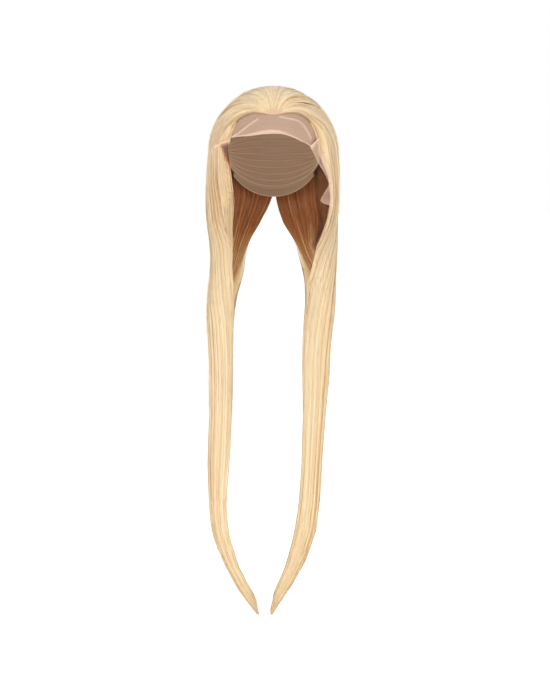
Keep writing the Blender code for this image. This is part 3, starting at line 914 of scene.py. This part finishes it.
def tone_group(name):
    """Colour of hair from its tone: deep, golden, middle or light, with faint changes along each strand. The
    deep colour and the near black below tone 0 are painted shade.
    """
    inputs = [(label, "Float") for label in ("Tone", "Along", "Across")]
    inputs += [(label, "Color") for label in ("Deep", "Golden", "Middle", "Light")]
    tree, given, end = new_tree(name, "ShaderNodeTree", inputs, (("Colour", "Color"), ("Roughness", "Float")))
    per_tone = 93.0
    per_across = 310.0
    per_along = 9.0
    strand = calc(tree, "ADD", calc(tree, "MULTIPLY", given["Tone"], per_tone),
                  calc(tree, "MULTIPLY", given["Across"], per_across))
    place = add_node(tree, "ShaderNodeCombineXYZ",
                     {"X": strand, "Y": calc(tree, "MULTIPLY", given["Along"], per_along)})
    noise = add_node(tree, "ShaderNodeTexNoise", {"Vector": place, "Scale": 1.0, "Detail": 3.0})
    change = 0.35
    tone = calc(tree, "ADD", given["Tone"], scaled(tree, noise, 0.5, change))

    middle_from = 0.22
    light_from = 0.45
    steepness = 4.5
    light_steepness = 1.9
    gold = mix_colour(tree, calc(tree, "MULTIPLY", tone, steepness, True), given["Deep"], given["Golden"])
    main_tone = mix_colour(tree, scaled(tree, tone, middle_from, steepness, True), gold, given["Middle"])
    lit = mix_colour(tree, scaled(tree, tone, light_from, light_steepness, True), main_tone, given["Light"])
    # Tones below 0 darken towards near black: painted shade
    deepest_painted_shade = (0.12, 0.035, 0.012, 1.0)
    dark_steepness = -1.6
    with_painted_shade = mix_colour(tree, calc(tree, "MULTIPLY", tone, dark_steepness, True), lit, deepest_painted_shade)

    knot = (0.72, 0.42, 0.29, 1.0)
    knot_fade = 16.0
    knot_strength = 1.3
    near = calc(tree, "SUBTRACT", 1.0, calc(tree, "MULTIPLY", given["Along"], knot_fade), True)
    knots = calc(tree, "MULTIPLY", calc(tree, "MULTIPLY", near, noise), knot_strength, True)
    least_rough = 0.30
    more_rough = 0.18
    feed(tree, end, {
        "Colour": mix_colour(tree, knots, with_painted_shade, knot),
        "Roughness": calc(tree, "ADD", calc(tree, "MULTIPLY", noise, more_rough), least_rough)})
    return tree


def net_group(name):
    """Slanted fine net: how much thread covers a point, and how high it stands."""
    tree, given, end = new_tree(
        name, "ShaderNodeTree", (("Vector", "Vector"), ("Cell", "Float"), ("Thread Share", "Float")),
        (("Thread", "Float"), ("Height", "Float")))
    slant = 0.62
    full_cover = 1.6
    edge_softness = 1.2
    place = add_node(tree, "ShaderNodeSeparateXYZ", {"Vector": given["Vector"]}).outputs
    lines = []
    for way in ("ADD", "SUBTRACT"):
        run = calc(tree, way, place["X"], calc(tree, "MULTIPLY", place["Y"], slant))
        wave = calc(tree, "PINGPONG", calc(tree, "DIVIDE", run, given["Cell"]), 0.5)
        lines.append(calc(tree, "MULTIPLY", wave, 2.0))
    gap = calc(tree, "DIVIDE", calc(tree, "MINIMUM", *lines), given["Thread Share"])
    feed(tree, end, {
        "Thread": calc(tree, "SUBTRACT", full_cover, calc(tree, "MULTIPLY", gap, edge_softness), True),
        "Height": calc(tree, "SUBTRACT", 1.0, gap, True)})
    return tree


def new_material(name, roughness, specular):
    """New material with its node tree and its surface shader."""
    material = bpy.data.materials.new(name)
    material.use_nodes = True
    tree = material.node_tree
    shader = tree.nodes["Principled BSDF"]
    return material, tree, feed(tree, shader, {"Roughness": roughness, "Specular IOR Level": specular})


def attribute(tree, name):
    """Named value that is stored on the piece's points."""
    return add_node(tree, "ShaderNodeAttribute", attribute_name=name).outputs["Fac"]


def bumped(tree, height, distance, strength):
    """Surface normal raised by a height, with the distance in metres."""
    return add_node(tree, "ShaderNodeBump", {"Height": height, "Distance": distance, "Strength": strength})


def strand_material(name, props, painted_shade_dim):
    """Satin hair. The last argument scales the colours down, as painted shade for what lies deeper."""
    material, tree, shader = new_material(name, 0.4, 0.35)
    tone = add_node(tree, "ShaderNodeGroup", {
        "Tone": attribute(tree, "tone"), "Along": attribute(tree, "along"),
        "Across": attribute(tree, "across"),
        "Deep": four(props.painted_shade_colour, painted_shade_dim), "Golden": four(props.golden_colour, painted_shade_dim),
        "Middle": four(props.middle_colour, painted_shade_dim), "Light": four(props.light_colour, painted_shade_dim),
    }, node_tree=shared("Strand Tone", tone_group))
    feed(tree, shader, {"Base Color": tone.outputs["Colour"], "Roughness": tone.outputs["Roughness"],
                        "Sheen Weight": 0.50, "Sheen Roughness": 0.4})
    return material


def net_node(tree, cell, thread_share):
    """The fine net on the piece's own map, and that map."""
    cloth = add_node(tree, "ShaderNodeUVMap", uv_map="cloth")
    net = add_node(tree, "ShaderNodeGroup", {"Vector": cloth, "Cell": cell, "Thread Share": thread_share},
                   node_tree=shared("Fine Net", net_group))
    return net.outputs, cloth


def lace_material(name, props):
    """Sheer net that is denser where the piece's cover value is high, and there also drawn lighter as a
    painted highlight.
    """
    material, tree, shader = new_material(name, 0.75, 0.25)
    net, _ = net_node(tree, props.cell, props.thread_share)
    opening_cover = 0.45
    thread_cover = 0.65
    # Dense parts drawn lighter: painted highlight
    dense_strength = 1.12
    cover = attribute(tree, "cover")
    thread = calc(tree, "ADD", calc(tree, "MULTIPLY", net["Thread"], thread_cover), opening_cover)
    colour = mix_colour(tree, cover, four(props.thread_colour), four(props.thread_colour, dense_strength))
    feed(tree, shader, {"Alpha": calc(tree, "MULTIPLY", cover, thread, True), "Base Color": colour,
                        "Normal": bumped(tree, net["Height"], 0.0002, 0.6)})
    return material


def cap_material(name, props):
    """Stretch net, a little uneven in colour."""
    material, tree, shader = new_material(name, 0.8, 0.2)
    net, cloth = net_node(tree, 0.0016, 0.45)
    noise = add_node(tree, "ShaderNodeTexNoise", {"Scale": 60.0, "Vector": cloth})
    between_threads = 0.55
    patches = scaled(tree, noise, 0.35, 0.5, True)
    patch_share = 0.75
    colour = mix_colour(tree, net["Thread"], four(props.net_colour, between_threads), four(props.net_colour))
    colour = mix_colour(tree, patches, colour, four(props.net_colour, patch_share))
    feed(tree, shader, {"Base Color": colour, "Normal": bumped(tree, net["Height"], 0.0004, 1.0)})
    return material


def thread_material(name, colour, spacing):
    """Sewn thread or elastic, with fine ribs at a spacing in metres and painted shade in their grooves."""
    material, tree, shader = new_material(name, 0.7, 0.25)
    scale_for_one_metre = 0.314
    # Darker grooves between the ribs: painted shade
    groove = 0.68
    place = add_node(tree, "ShaderNodeTexCoord").outputs["Object"]
    wave = add_node(tree, "ShaderNodeTexWave", {
        "Scale": scale_for_one_metre / spacing, "Distortion": 0.6, "Vector": place}).outputs["Fac"]
    feed(tree, shader, {"Base Color": mix_colour(tree, wave, four(colour, groove), four(colour)),
                        "Normal": bumped(tree, wave, 0.0003, 1.0)})
    return material


# Shape rules of the cap and the lace

def form_direction(side_deg, turn_deg):
    """Direction from the form's centre: side angle from the middle, turn angle from front over the top."""
    w = np.radians(side_deg)
    t = np.radians(turn_deg)
    return np.stack((np.sin(w), -np.cos(w) * np.cos(t), np.cos(w) * np.sin(t)), axis=-1)


def form_points(side_deg, turn_deg, offset):
    """Points at these angles that stand off the form by the offset."""
    return FORM_CENTRE + (FORM_RADII + offset) * form_direction(side_deg, turn_deg)


def front_direction(x, z):
    """Direction from the form's centre to the point of its front at x and z."""
    flattest = 0.02
    a = x / FORM_RADII[0]
    c = (z - FORM_CENTRE[2]) / FORM_RADII[2]
    return unit(np.stack((a, -np.sqrt(np.maximum(1.0 - a * a - c * c, flattest)), c), axis=-1))


def distance_to_line(x, z, line):
    """Shortest distance in the front view from points to a run of straight pieces."""
    best = np.full(x.shape, np.inf)
    for (x0, z0), (x1, z1) in zip(line, line[1:]):
        dx = x1 - x0
        dz = z1 - z0
        t = np.clip(((x - x0) * dx + (z - z0) * dz) / (dx * dx + dz * dz), 0.0, 1.0)
        best = np.minimum(best, np.hypot(x - x0 - t * dx, z - z0 - t * dz))
    return best


def ripple(x, z, height, by_x, by_z, phase):
    """Shallow wave over the front view: its height in millimetres and its turning per millimetre."""
    return height * np.sin(x * by_x + z * by_z + phase)


# Operators, one for each group of pieces

class WIG_OT_cap(bpy.types.Operator):
    """Make the net cap with its sewn wefts and the nape band"""

    bl_idname = "wig.cap"
    bl_label = "Cap and Nape Band"

    def execute(self, context):
        props = context.scene.wig_cap
        turn, side = np.meshgrid(np.linspace(SEAM_DEG + EDGE_GAP_DEG, NAPE_DEG, CAP_GRID[0]),
                                 np.linspace(-CAP_SIDE_DEG, CAP_SIDE_DEG, CAP_GRID[1]), indexing="ij")
        low, high = (form_points(side, turn, skin) for skin in CAP_SKINS)
        ring = np.concatenate((high, low[:, ::-1]), axis=1)
        net = cap_material("stretch_net", props)
        cap = grid_mesh("cap_net", ring, net, arc_map(ring), closed=True, rims=True)
        settle(cap, "cap_crown")
        self.wefts(props)
        self.nape_band()
        return {"FINISHED"}

    def wefts(self, props):
        """Sewn rows across the inside of the cap, and one along each of its side edges."""
        side = np.linspace(-WEFT_SIDE_DEG, WEFT_SIDE_DEG, WEFT_STEPS)
        rows = [form_points(side, np.full(WEFT_STEPS, level), WEFT_STAND)
                for level in np.linspace(*WEFT_TURN_DEG, props.weft_rows)]
        turn = np.linspace(*EDGE_ROW_TURN_DEG, WEFT_STEPS)
        for side_deg in (-EDGE_ROW_SIDE_DEG, EDGE_ROW_SIDE_DEG):
            rows.append(form_points(np.full(WEFT_STEPS, side_deg), turn, WEFT_STAND))
        paths = line_mesh("weft_paths", [np.stack(rows)])
        track = thread_material("weft_track", props.weft_colour, WEFT_RIB)
        wefts = grown("cap_wefts", paths, shared("Sewn Tubes", tube_tree),
                      {"Radius": props.weft_radius, "Sides": WEFT_SIDES, "Material": track})
        settle(wefts, None)

    def nape_band(self):
        """Ribbed elastic along the cap's lower back edge, with closed ends."""
        turn = np.linspace(NAPE_DEG + EDGE_GAP_DEG, BAND_END_DEG + EDGE_GAP_DEG, BAND_GRID[0])
        side = np.linspace(-BAND_SIDE_DEG, BAND_SIDE_DEG, BAND_GRID[1])
        turn, side = np.meshgrid(turn, side, indexing="ij")
        rib = RIB_HEIGHT * np.sin(np.radians(side) * RIBS_PER_RADIAN)
        low = form_points(side, turn, (BAND_SKINS[0] + rib * RIB_INSIDE_SHARE)[..., None])
        high = form_points(side, turn, (BAND_SKINS[1] + rib)[..., None])
        ring = np.concatenate((low, high[::-1]), axis=0).transpose(1, 0, 2)
        elastic = thread_material("elastic_band", BAND_COLOUR, ELASTIC_RIB)
        band = grid_mesh("nape_elastic", ring, elastic, arc_map(ring), closed=True)
        close_ends(band)
        settle(band, "nape_band")


class WIG_OT_lace(bpy.types.Operator):
    """Make the sheer lace front and its two loose side tabs"""

    bl_idname = "wig.lace"
    bl_label = "Lace Front and Side Tabs"

    def execute(self, context):
        props = context.scene.wig_lace
        net = lace_material("sheer_lace", props)
        self.front(props, net)
        for tab in TABS:
            self.tab(net, *tab)
        return {"FINISHED"}

    def front(self, props, net):
        """Lace from its free edge to the seam on the cap."""
        table = smooth_read(LACE_COLUMNS, np.linspace(0.0, len(LACE_COLUMNS) - 1.0, LACE_GRID[0]))
        edge_x, edge_z, hair_x, hair_z, seam_side, hem_height = table.T
        edge = front_direction(edge_x, edge_z)
        hair = front_direction(hair_x, hair_z)
        seam = form_direction(seam_side, np.full(LACE_GRID[0], SEAM_DEG - EDGE_GAP_DEG))
        bare = [unit(edge + (hair - edge) * f) for f in np.linspace(0.0, 1.0, LACE_GRID[1] + 1)[:-1]]
        covered = [unit(hair + (seam - hair) * f) for f in np.linspace(0.0, 1.0, LACE_GRID[2])]
        q = np.stack(bare + covered)
        middle = FORM_CENTRE + FORM_RADII * q
        x = middle[..., 0]
        z = middle[..., 2]
        height = np.linalg.norm(middle - middle[:1], axis=-1)
        hem = ramp(height, hem_height, hem_height - HEM_SOFT)
        hem_edge = bell(height, hem_height, LACE_EDGE_WIDTH)
        away = np.min([distance_to_line(x, z, line) for line in LACE_FOLDS], axis=0)
        folds = bell(away, 0.0, LACE_FOLD_WIDTH)
        uneven = ripple(x, z, 0.060, 0.55, 0.35, 0.0) + ripple(x, z, 0.048, 0.9, -0.25, 1.3)
        row = np.arange(len(q))[:, None]
        shown = ramp(row, LACE_GRID[1] + LACE_FADE_ROWS, LACE_GRID[1])
        stand = LACE_BASE + shown * (props.fold_height / MM * folds + HEM_THICKNESS * hem + uneven)
        grid = FORM_CENTRE + (FORM_RADII + stand[..., None]) * q
        cover = FRONT_COVER + HEM_COVER * hem + HEM_EDGE_COVER * hem_edge + FOLD_COVER * folds
        lace = grid_mesh("lace_forehead", grid, net, arc_map(grid), {"cover": np.clip(cover, 0.0, 1.0)})
        settle(lace, "lace_front")

    def tab(self, net, name, node, rows, seed):
        """Loose lace at one side, held taut along its top."""
        table = np.array(rows)
        leftwards = table[0, 2] < table[0, 0]
        down = smooth_read(table, np.linspace(0.0, len(rows) - 1.0, TAB_GRID[0]))
        near_x, near_z, far_x, far_z, near_y, far_y = down.T[..., None]
        f = np.linspace(0.0, 1.0, TAB_GRID[1])[None, :]
        phase = np.random.default_rng(seed).uniform(0.0, TURN, 3)
        x = near_x + (far_x - near_x) * f
        z = near_z + (far_z - near_z) * f
        bulge = TAB_BULGE * np.sin(np.pi * f) * np.abs(far_x - near_x)
        wave = ripple(x, z, 0.35, 0.40, 0.12, phase[0]) + ripple(x, z, 0.22, -0.15, 0.30, phase[1])
        y = near_y + (far_y - near_y) * f - bulge - TAB_FORWARD + wave
        grid = np.stack((x, y, z), axis=-1)
        borders = (grid[:, :1], grid[:, -1:], grid[-1:])
        rim = np.min([np.linalg.norm(grid - border, axis=-1) for border in borders], axis=0)
        width = TAUT_WIDTH[0] + (TAUT_WIDTH[1] - TAUT_WIDTH[0]) * f
        taut = bell(np.linalg.norm(grid - grid[:1], axis=-1), 0.0, width)
        cover = RIGHT_TAB_COVER
        if leftwards:
            taut = taut * ramp(f, 1.0, LEFT_TAUT_END)
            cover = LEFT_TAB_COVER * ramp(f, *LEFT_TAB_SHEER)
        # Rims and the taut band cover more: denser net, and partly a painted highlight
        cover = cover * (TAB_COVER + ripple(x, z, 0.10, 0.0, 0.22, phase[2])
                         + TAB_RIM_COVER * bell(rim, 0.0, LACE_EDGE_WIDTH)) + TAUT_COVER * taut
        grid = grid + taut[..., None] * np.array(TAUT_LIFT)
        values = {"cover": np.clip(cover, 0.0, 1.0)}
        tab = grid_mesh(name, grid, net, arc_map(grid), values, flip=not leftwards)
        settle(tab, node)
        width = float(np.abs(table[:, 2] - table[:, 0]).max()) * MM


class Section:
    """One hair section, between two places across its side, with the random numbers for its strands."""

    def __init__(self, props, side, locks, low, high, seed):
        self.props = props
        self.side = side
        self.locks = locks
        self.low = low
        self.high = high
        self.rng = np.random.default_rng(seed)

    def amount(self, label):
        return getattr(self.props, label) // 1

    def lay(self, u, depth, start, end, stations, stray=1.0, lining=False, rise_length=0.0):
        """Points, facings, widths, tones and v of strands: one row per strand, one column per station.

        depth is a share of the body's own depth, measured from the outer surface or, for a lining, from the
        inner one. A strand with a rise_length grows out of the lace and rises over about that length.
        """
        rng = self.rng
        index, middle, half = between(self.locks.edges, u)
        clump, clump_middle, _ = between(self.locks.clump_edges, u)
        v = start[:, None] + (end - start)[:, None] * stations
        run = v - start[:, None]
        gather = ramp(v, *GATHER_V)
        held = u[:, None] + (clump_middle - u)[:, None] * (CLUMP_PULL_ROOT + CLUMP_PULL_MORE * gather)
        drift = half[:, None] * swing(LOCK_WAVE, v, self.locks.phase[index, 0:1])
        path_u = middle[:, None] + (held - middle[:, None]) * (1.0 - LOCK_PULL * gather) + drift
        outer, inner, normal, across = hair_frame(self.side, path_u, v)
        gap = inner - outer
        thick = np.maximum(np.linalg.norm(gap, axis=-1), LEAST_THICKNESS)
        rise_length = np.broadcast_to(rise_length, u.shape)[:, None]
        rise = np.where(rise_length > 0.0, 0.0, np.exp(-run / ROOT_DEPTH_RUN))
        share = depth[:, None] + (ROOT_DEPTH - depth)[:, None] * rise
        full = np.minimum(LINING_DEPTH, LINING_DEPTH_SHARE * thick) if lining else body_depth(thick, v)
        phase = rng.uniform(0.0, TURN, (len(u), 4))
        amount = stray * ramp(run, 0.0, STRAY_RUN) * np.clip(STRAY_SHARE * thick, *STRAY_LIMITS)
        aside = amount * (swing(SIDE_WAVES[0], v, phase[:, 0:1]) + swing(SIDE_WAVES[1], v, phase[:, 1:2]))
        if lining:
            points = inner - gap / thick[..., None] * (full * share)[..., None]
        else:
            lift = self.locks.relief(u, v, thick) + amount * swing(OUT_WAVE, v, phase[:, 2:3])
            points = outer + normal * (lift - full * share)[..., None]
            weight = np.exp(-run / np.maximum(rise_length, MM))
            points = rooted(points, np.where(rise_length > 0.0, weight, 0.0))
        points = points + across * aside[..., None]
        tilt = rng.normal(0.0, TILT_SPREAD, len(u))[:, None] + swing(TILT_WAVE, v, phase[:, 3:4])
        tangent = unit(np.gradient(points, axis=1))
        level = unit(normal - tangent * np.sum(normal * tangent, axis=-1, keepdims=True))
        facing = level * np.cos(tilt)[..., None] + np.cross(tangent, level) * np.sin(tilt)[..., None]
        width = ramp(end[:, None] - v, 0.0, TIP_TAPER) ** TIP_TAPER_POWER * ramp(run, *ROOT_TAPER)
        # Painted shade: the deeper a strand lies, the darker its tone
        tone = (MEAN_TONE + self.locks.tone[index] + self.locks.clump_tone[clump]
                + rng.normal(0.0, STRAND_TONE, len(u)) - DEPTH_PAINTED_SHADE * depth)[:, None]
        tone = tone + swing(TONE_WAVE, v, self.locks.clump_phase[clump][:, None])
        # Painted shade: the lower ends are darker
        tone = tone - TIP_PAINTED_SHADE * ramp(v, *TIP_PAINTED_SHADE_V)
        return points, -facing if lining else facing, np.maximum(width, LEAST_WIDTH), tone, v

    def surface(self):
        """Strands of the outside. Some grow out of the hairline, the others start further back."""
        rng = self.rng
        hairline_share = 0.42
        hairline = (-0.012, 0.03)
        behind = (0.02, 0.62)
        long_share = 0.7
        long_cut = 0.05
        short_cut = 0.30
        rise_length = 0.012
        crown_points_each = 15
        count = self.amount("surface_strands")
        u = rng.uniform(self.low, self.high, count)
        depth = rng.random(count) ** 1.3
        front = rng.random(count) < hairline_share
        start = np.where(front, rng.uniform(*hairline, count), rng.uniform(*behind, count))
        long = rng.random(count) < long_share
        end = TIP_V - np.where(long, long_cut * rng.random(count) ** 1.5, short_cut * rng.random(count))
        over = start[:, None] + (1.0 - start)[:, None] * np.linspace(0.0, 1.0, crown_points_each)
        under = 1.0 + (end - 1.0)[:, None] * FALL_SHARES
        stations = (np.concatenate((over, under), axis=1) - start[:, None]) / (end - start)[:, None]
        return self.with_painted_shade(u, self.lay(u, depth, start, end, stations, rise_length=rise_length * front))

    def with_painted_shade(self, u, laid):
        """Painted shade: a deeper golden tone in the front of the curtain, much stronger on the left, and
        painted shade in the parting groove on the right.
        """
        points, facing, width, tone, v = laid
        forward = ramp(points[..., 1], *GOLDEN_DEPTHS)
        golden = GOLDEN_PAINTED_SHADE[self.side] * forward * bell(points[..., 2], GOLDEN_LEVEL, GOLDEN_HEIGHT)
        tone = np.maximum(tone - golden, GOLDEN_TONE)
        if self.side > 0:
            groove = bell(u[:, None], PARTING_U, PARTING_HALF) * bell(v, PARTING_V, PARTING_LENGTH)
            # Painted shade in the parting groove
            tone = tone - PARTING_PAINTED_SHADE * groove
            points = points - unit(points - FORM_CENTRE) * (PARTING_DEPTH * groove)[..., None]
        return points, facing, width, tone, v

    def lining(self):
        """Strands of the inside with painted shade, darker overall and darker still towards the top."""
        rng = self.rng
        top = (0.93, 1.02)
        bottom = 1.235
        count = self.amount("lining_strands")
        u = rng.uniform(self.low, self.high, count)
        start = rng.uniform(*top, count)
        stations = np.linspace(0.0, 1.0, 13)
        points, facing, width, tone, v = self.lay(
            u, rng.random(count), start, np.full(count, bottom), stations, stray=0.6, lining=True)
        shade = LINING_PAINTED_SHADE * ramp(points[..., 2], *LINING_PAINTED_SHADE_LEVELS)
        return points, facing, width, LINING_TONE_SHARE * tone + LINING_TONE - shade, v

    def open_edge(self):
        """Strands over the whole depth of the section's open edge at the front or back, facing out of it."""
        rng = self.rng
        at_front = self.high == 1.0
        highest = 0.55 if at_front else 1.04
        start_spread = 0.25
        shortest_end = 1.30
        end_spread = 0.40
        whole_depth = 0.98
        tilt_spread = 0.35
        opening = 0.3
        shade = 0.25 if at_front else 0.45
        count = self.amount("edge_strands")
        beyond = 0.001 + 0.008 * rng.random(count)
        u = 1.0 + beyond if at_front else -beyond
        start = rng.uniform(highest, highest + start_spread, count)
        end = shortest_end + end_spread * rng.random(count)
        points, _, width, tone, v = self.lay(
            u, np.zeros(count), start, end, np.linspace(0.0, 1.0, 24), stray=0.8)
        outer, inner, normal, across = hair_frame(self.side, np.broadcast_to(u[:, None], v.shape), v)
        share = rng.random(count)[:, None, None] * whole_depth
        tilt = rng.normal(0.0, tilt_spread, count)[:, None, None]
        outward = across if at_front else -across
        facing = outward * np.cos(tilt) + normal * np.sin(tilt + opening * (0.5 - share))
        points = points + (inner - outer) * share
        # Painted shade: the deeper into the section, the darker
        tone = tone - shade * share[..., 0]
        # Painted shade of the hollow beside the left front edge
        if self.side < 0 and at_front:
            tone = tone - painted_hollow_shade(points)
        return points, facing, width, tone, v

    def thin(self, share, laid):
        """The same strands in a smaller width, a little lighter."""
        points, facing, width, tone, v = laid
        return points, facing, width * share, tone + THIN_STRAND_TONE, v

    def baby(self):
        """Finest short strands along the hairline."""
        rng = self.rng
        count = self.amount("baby_hairs")
        u = 1.0 + 0.035 * rng.random(count) ** 1.5 - 0.01
        start = rng.uniform(-0.03, 0.60, count)
        end = start + rng.uniform(0.15, 0.45, count)
        return self.thin(0.5, self.lay(
            u, 0.5 * rng.random(count), start, end, np.linspace(0.0, 1.0, 12), stray=1.2, rise_length=0.05))

    def loose(self):
        """Single hairs that stand a little off the surface."""
        rng = self.rng
        count = self.amount("loose_hairs")
        u = rng.uniform(self.low, self.high, count)
        start = rng.uniform(0.25, 1.2, count)
        end = np.minimum(start + rng.uniform(0.15, 0.6, count), TIP_V + 0.01)
        return self.thin(0.45, self.lay(
            u, -1.6 * rng.random(count), start, end, np.linspace(0.0, 1.0, 26), stray=2.2))

    def strands(self):
        """All strands of the section. The order matters, because they share their random numbers."""
        parts = [self.surface(), self.lining()]
        if self.low == 0.0 or self.high == 1.0:
            parts.append(self.open_edge())
        if self.high == 1.0:
            parts.append(self.baby())
        parts.append(self.loose())
        return parts

    def body(self, name, material):
        """Closed smooth body a little inside the strands, so that no light shows through the hair. Its darker
        tones are painted shade.
        """
        crown = np.linspace(BODY_V[0], 1.0, BODY_ROWS[0])
        below = np.linspace(1.0, BODY_V[1], BODY_ROWS[1] + 1)[1:]
        stations = np.concatenate((crown, below))
        outer_u = np.linspace(self.low, self.high, BODY_COLUMNS[0])
        inner_u = np.linspace(self.high, self.low, BODY_COLUMNS[1])
        u, v = np.meshgrid(outer_u, stations, indexing="ij")
        outer, inner, normal, across = hair_frame(self.side, u, v)
        thick = np.maximum(np.linalg.norm(outer - inner, axis=-1), LEAST_THICKNESS)
        lift = np.minimum(self.locks.relief(outer_u, v, thick), BODY_RELIEF_SHARE * thick)
        shell = outer + normal * (lift - body_depth(thick, v))[..., None]
        u, v = np.meshgrid(inner_u, stations, indexing="ij")
        far = hair_surface(self.side, u, v, "inner")
        lining = far + (hair_surface(self.side, u, v, "outer") - far) * BODY_INSIDE_SHARE
        if self.low == 0.0:
            shell[0] += across[0] * BODY_EDGE_INSET
            lining[-1] += across[0] * BODY_EDGE_INSET
        if self.high == 1.0:
            shell[-1] -= across[-1] * BODY_EDGE_INSET
            lining[0] -= across[-1] * BODY_EDGE_INSET
        grid = np.concatenate((shell, lining)).transpose(1, 0, 2)
        tone = np.broadcast_to(np.repeat(BODY_PAINTED_SHADE_TONES, BODY_COLUMNS), grid.shape[:2])
        # Painted shade of the hollow beside the left front edge, fading in on the body above its end
        if self.side < 0 and self.high == 1.0:
            fade = ramp(grid[..., 2], *(HOLLOW_END[1] + reach for reach in HOLLOW_BODY_FADE))
            tone = tone - painted_hollow_shade(grid) * fade
        place = np.concatenate((outer_u, inner_u + LINING_SHIFT))
        values = {
            "tone": tone,
            "along": np.broadcast_to(stations[:, None], grid.shape[:2]),
            "across": np.broadcast_to(place, grid.shape[:2]),
        }
        body = grid_mesh(name, grid, material, None, values, closed=True)
        close_ends(body)
        return body


class WIG_OT_hair(bpy.types.Operator):
    """Make the strands and the closed body of each of the six hair sections"""

    bl_idname = "wig.hair"
    bl_label = "Hair Sections"

    def execute(self, context):
        props = context.scene.wig_hair
        shown = strand_material("blonde_strands", props, 1.0)
        # Darker copy of the hair colours for the closed bodies: painted shade
        deep = strand_material("painted_shade_strands", props, 0.92)
        width = props.strand_width * 1.0
        seed = props.seed * 100
        for word, side in SIDES:
            locks = Locks(side, props.lock_count, props.seed)
            for place, low, high in SECTIONS:
                name = f"hair_{place}_{word}"
                section = Section(props, side, locks, low, high, seed)
                paths = strand_mesh(name + "_paths", section.strands())
                strands = grown(name + "_strands", paths, shared("Strand Ribbons", ribbon_tree),
                                {"Strand Width": width, "Material": shown})
                settle(strands, name)
                settle(section.body(name + "_under", deep), None)
                seed += 1
        return {"FINISHED"}


class WIG_OT_stage(bpy.types.Operator):
    """Set the camera, the pale floor, the even background and the soft lights"""

    bl_idname = "wig.stage"
    bl_label = "Studio Stage"

    def execute(self, context):
        props = context.scene.wig_stage
        self.camera(context.scene)
        self.background(context.scene, props)
        self.floor(props)
        for light in LIGHTS:
            self.light(props, *light)
        return {"FINISHED"}

    def camera(self, scene):
        """The photograph's view, from the front and a little down."""
        data = bpy.data.cameras.new("camera")
        data.lens = CAMERA_LENS
        data.sensor_width = 36.0
        camera = new_object("camera", data)
        camera.location = CAMERA_PLACE
        camera.rotation_euler = (math.radians(90.0 - CAMERA_DOWN_DEG), 0.0, 0.0)
        scene.camera = camera
        scene.view_settings.view_transform = "Standard"

    def background(self, scene, props):
        """White behind the wig, and a softer even light on it."""
        world = bpy.data.worlds.new("studio")
        scene.world = world
        world.use_nodes = True
        tree = world.node_tree
        seen = add_node(tree, "ShaderNodeLightPath").outputs["Is Camera Ray"]
        strength = add_node(tree, "ShaderNodeMix", {0: seen, 2: props.ambient, 3: 1.0})
        feed(tree, tree.nodes["Background"], {"Color": (1.0, 1.0, 1.0, 1.0), "Strength": strength})

    def floor(self, props):
        """Wide pale floor below the wig."""
        material, tree, shader = new_material("pale_floor", 0.9, 0.1)
        noise = add_node(tree, "ShaderNodeTexNoise", {"Scale": 30.0})
        shade = mix_colour(tree, noise, (0.97, 0.97, 0.97, 1.0), (0.99, 0.99, 0.99, 1.0))
        feed(tree, shader, {"Base Color": shade, "Emission Color": shade, "Emission Strength": 0.6})
        corners = ((-1, -1), (1, -1), (1, 1), (-1, 1))
        mesh = bpy.data.meshes.new("floor")
        mesh.from_pydata([(x * FLOOR_REACH, y * FLOOR_REACH, props.floor_level) for x, y in corners],
                         [], [(0, 1, 2, 3)])
        mesh.materials.append(material)
        floor = new_object("floor", mesh)

    def light(self, props, name, place, size, power, share):
        """Soft square light that is turned to the wig."""
        data = bpy.data.lights.new(name, "AREA")
        data.size = size
        data.energy = getattr(props, power) * share
        lamp = new_object(name, data)
        lamp.location = place
        x, y, z = np.array(LIGHT_AIM) - place
        lamp.rotation_euler = (math.atan2(math.hypot(x, y), -z), 0.0, math.atan2(y, x) - math.pi / 2)


class WIG_PT_panel(bpy.types.Panel):
    """Sizes, colours and steps of the wig"""

    bl_label = "Lace Front Wig"
    bl_idname = "WIG_PT_panel"
    bl_space_type = "VIEW_3D"
    bl_region_type = "UI"
    bl_category = "Wig"

    def draw(self, context):
        for label in ("cap", "lace", "hair", "stage"):
            group = getattr(context.scene, "wig_" + label)
            box = self.layout.box()
            box.label(text=label.title())
            for prop in group.bl_rna.properties:
                if prop.identifier not in ("rna_type", "name"):
                    box.prop(group, prop.identifier)
            box.operator("wig." + label)


PROPERTY_GROUPS = (
    ("wig_hair", WigHairProps),
    ("wig_lace", WigLaceProps),
    ("wig_cap", WigCapProps),
    ("wig_stage", WigStageProps),
)
OPERATORS = (WIG_OT_cap, WIG_OT_lace, WIG_OT_hair, WIG_OT_stage)


def register():
    for name, group in PROPERTY_GROUPS:
        bpy.utils.register_class(group)
        setattr(bpy.types.Scene, name, bpy.props.PointerProperty(type=group))
    for item in OPERATORS:
        bpy.utils.register_class(item)
    bpy.utils.register_class(WIG_PT_panel)


def unregister():
    bpy.utils.unregister_class(WIG_PT_panel)
    for item in reversed(OPERATORS):
        bpy.utils.unregister_class(item)
    for name, group in reversed(PROPERTY_GROUPS):
        delattr(bpy.types.Scene, name)
        bpy.utils.unregister_class(group)


def main():
    for item in [o for o in bpy.data.objects if o.name in ("Cube", "Light", "Camera")]:
        bpy.data.objects.remove(item, do_unlink=True)
    register()
    bpy.ops.wig.stage()
    bpy.ops.wig.cap()
    bpy.ops.wig.lace()
    bpy.ops.wig.hair()


if __name__ == "__main__":
    main()
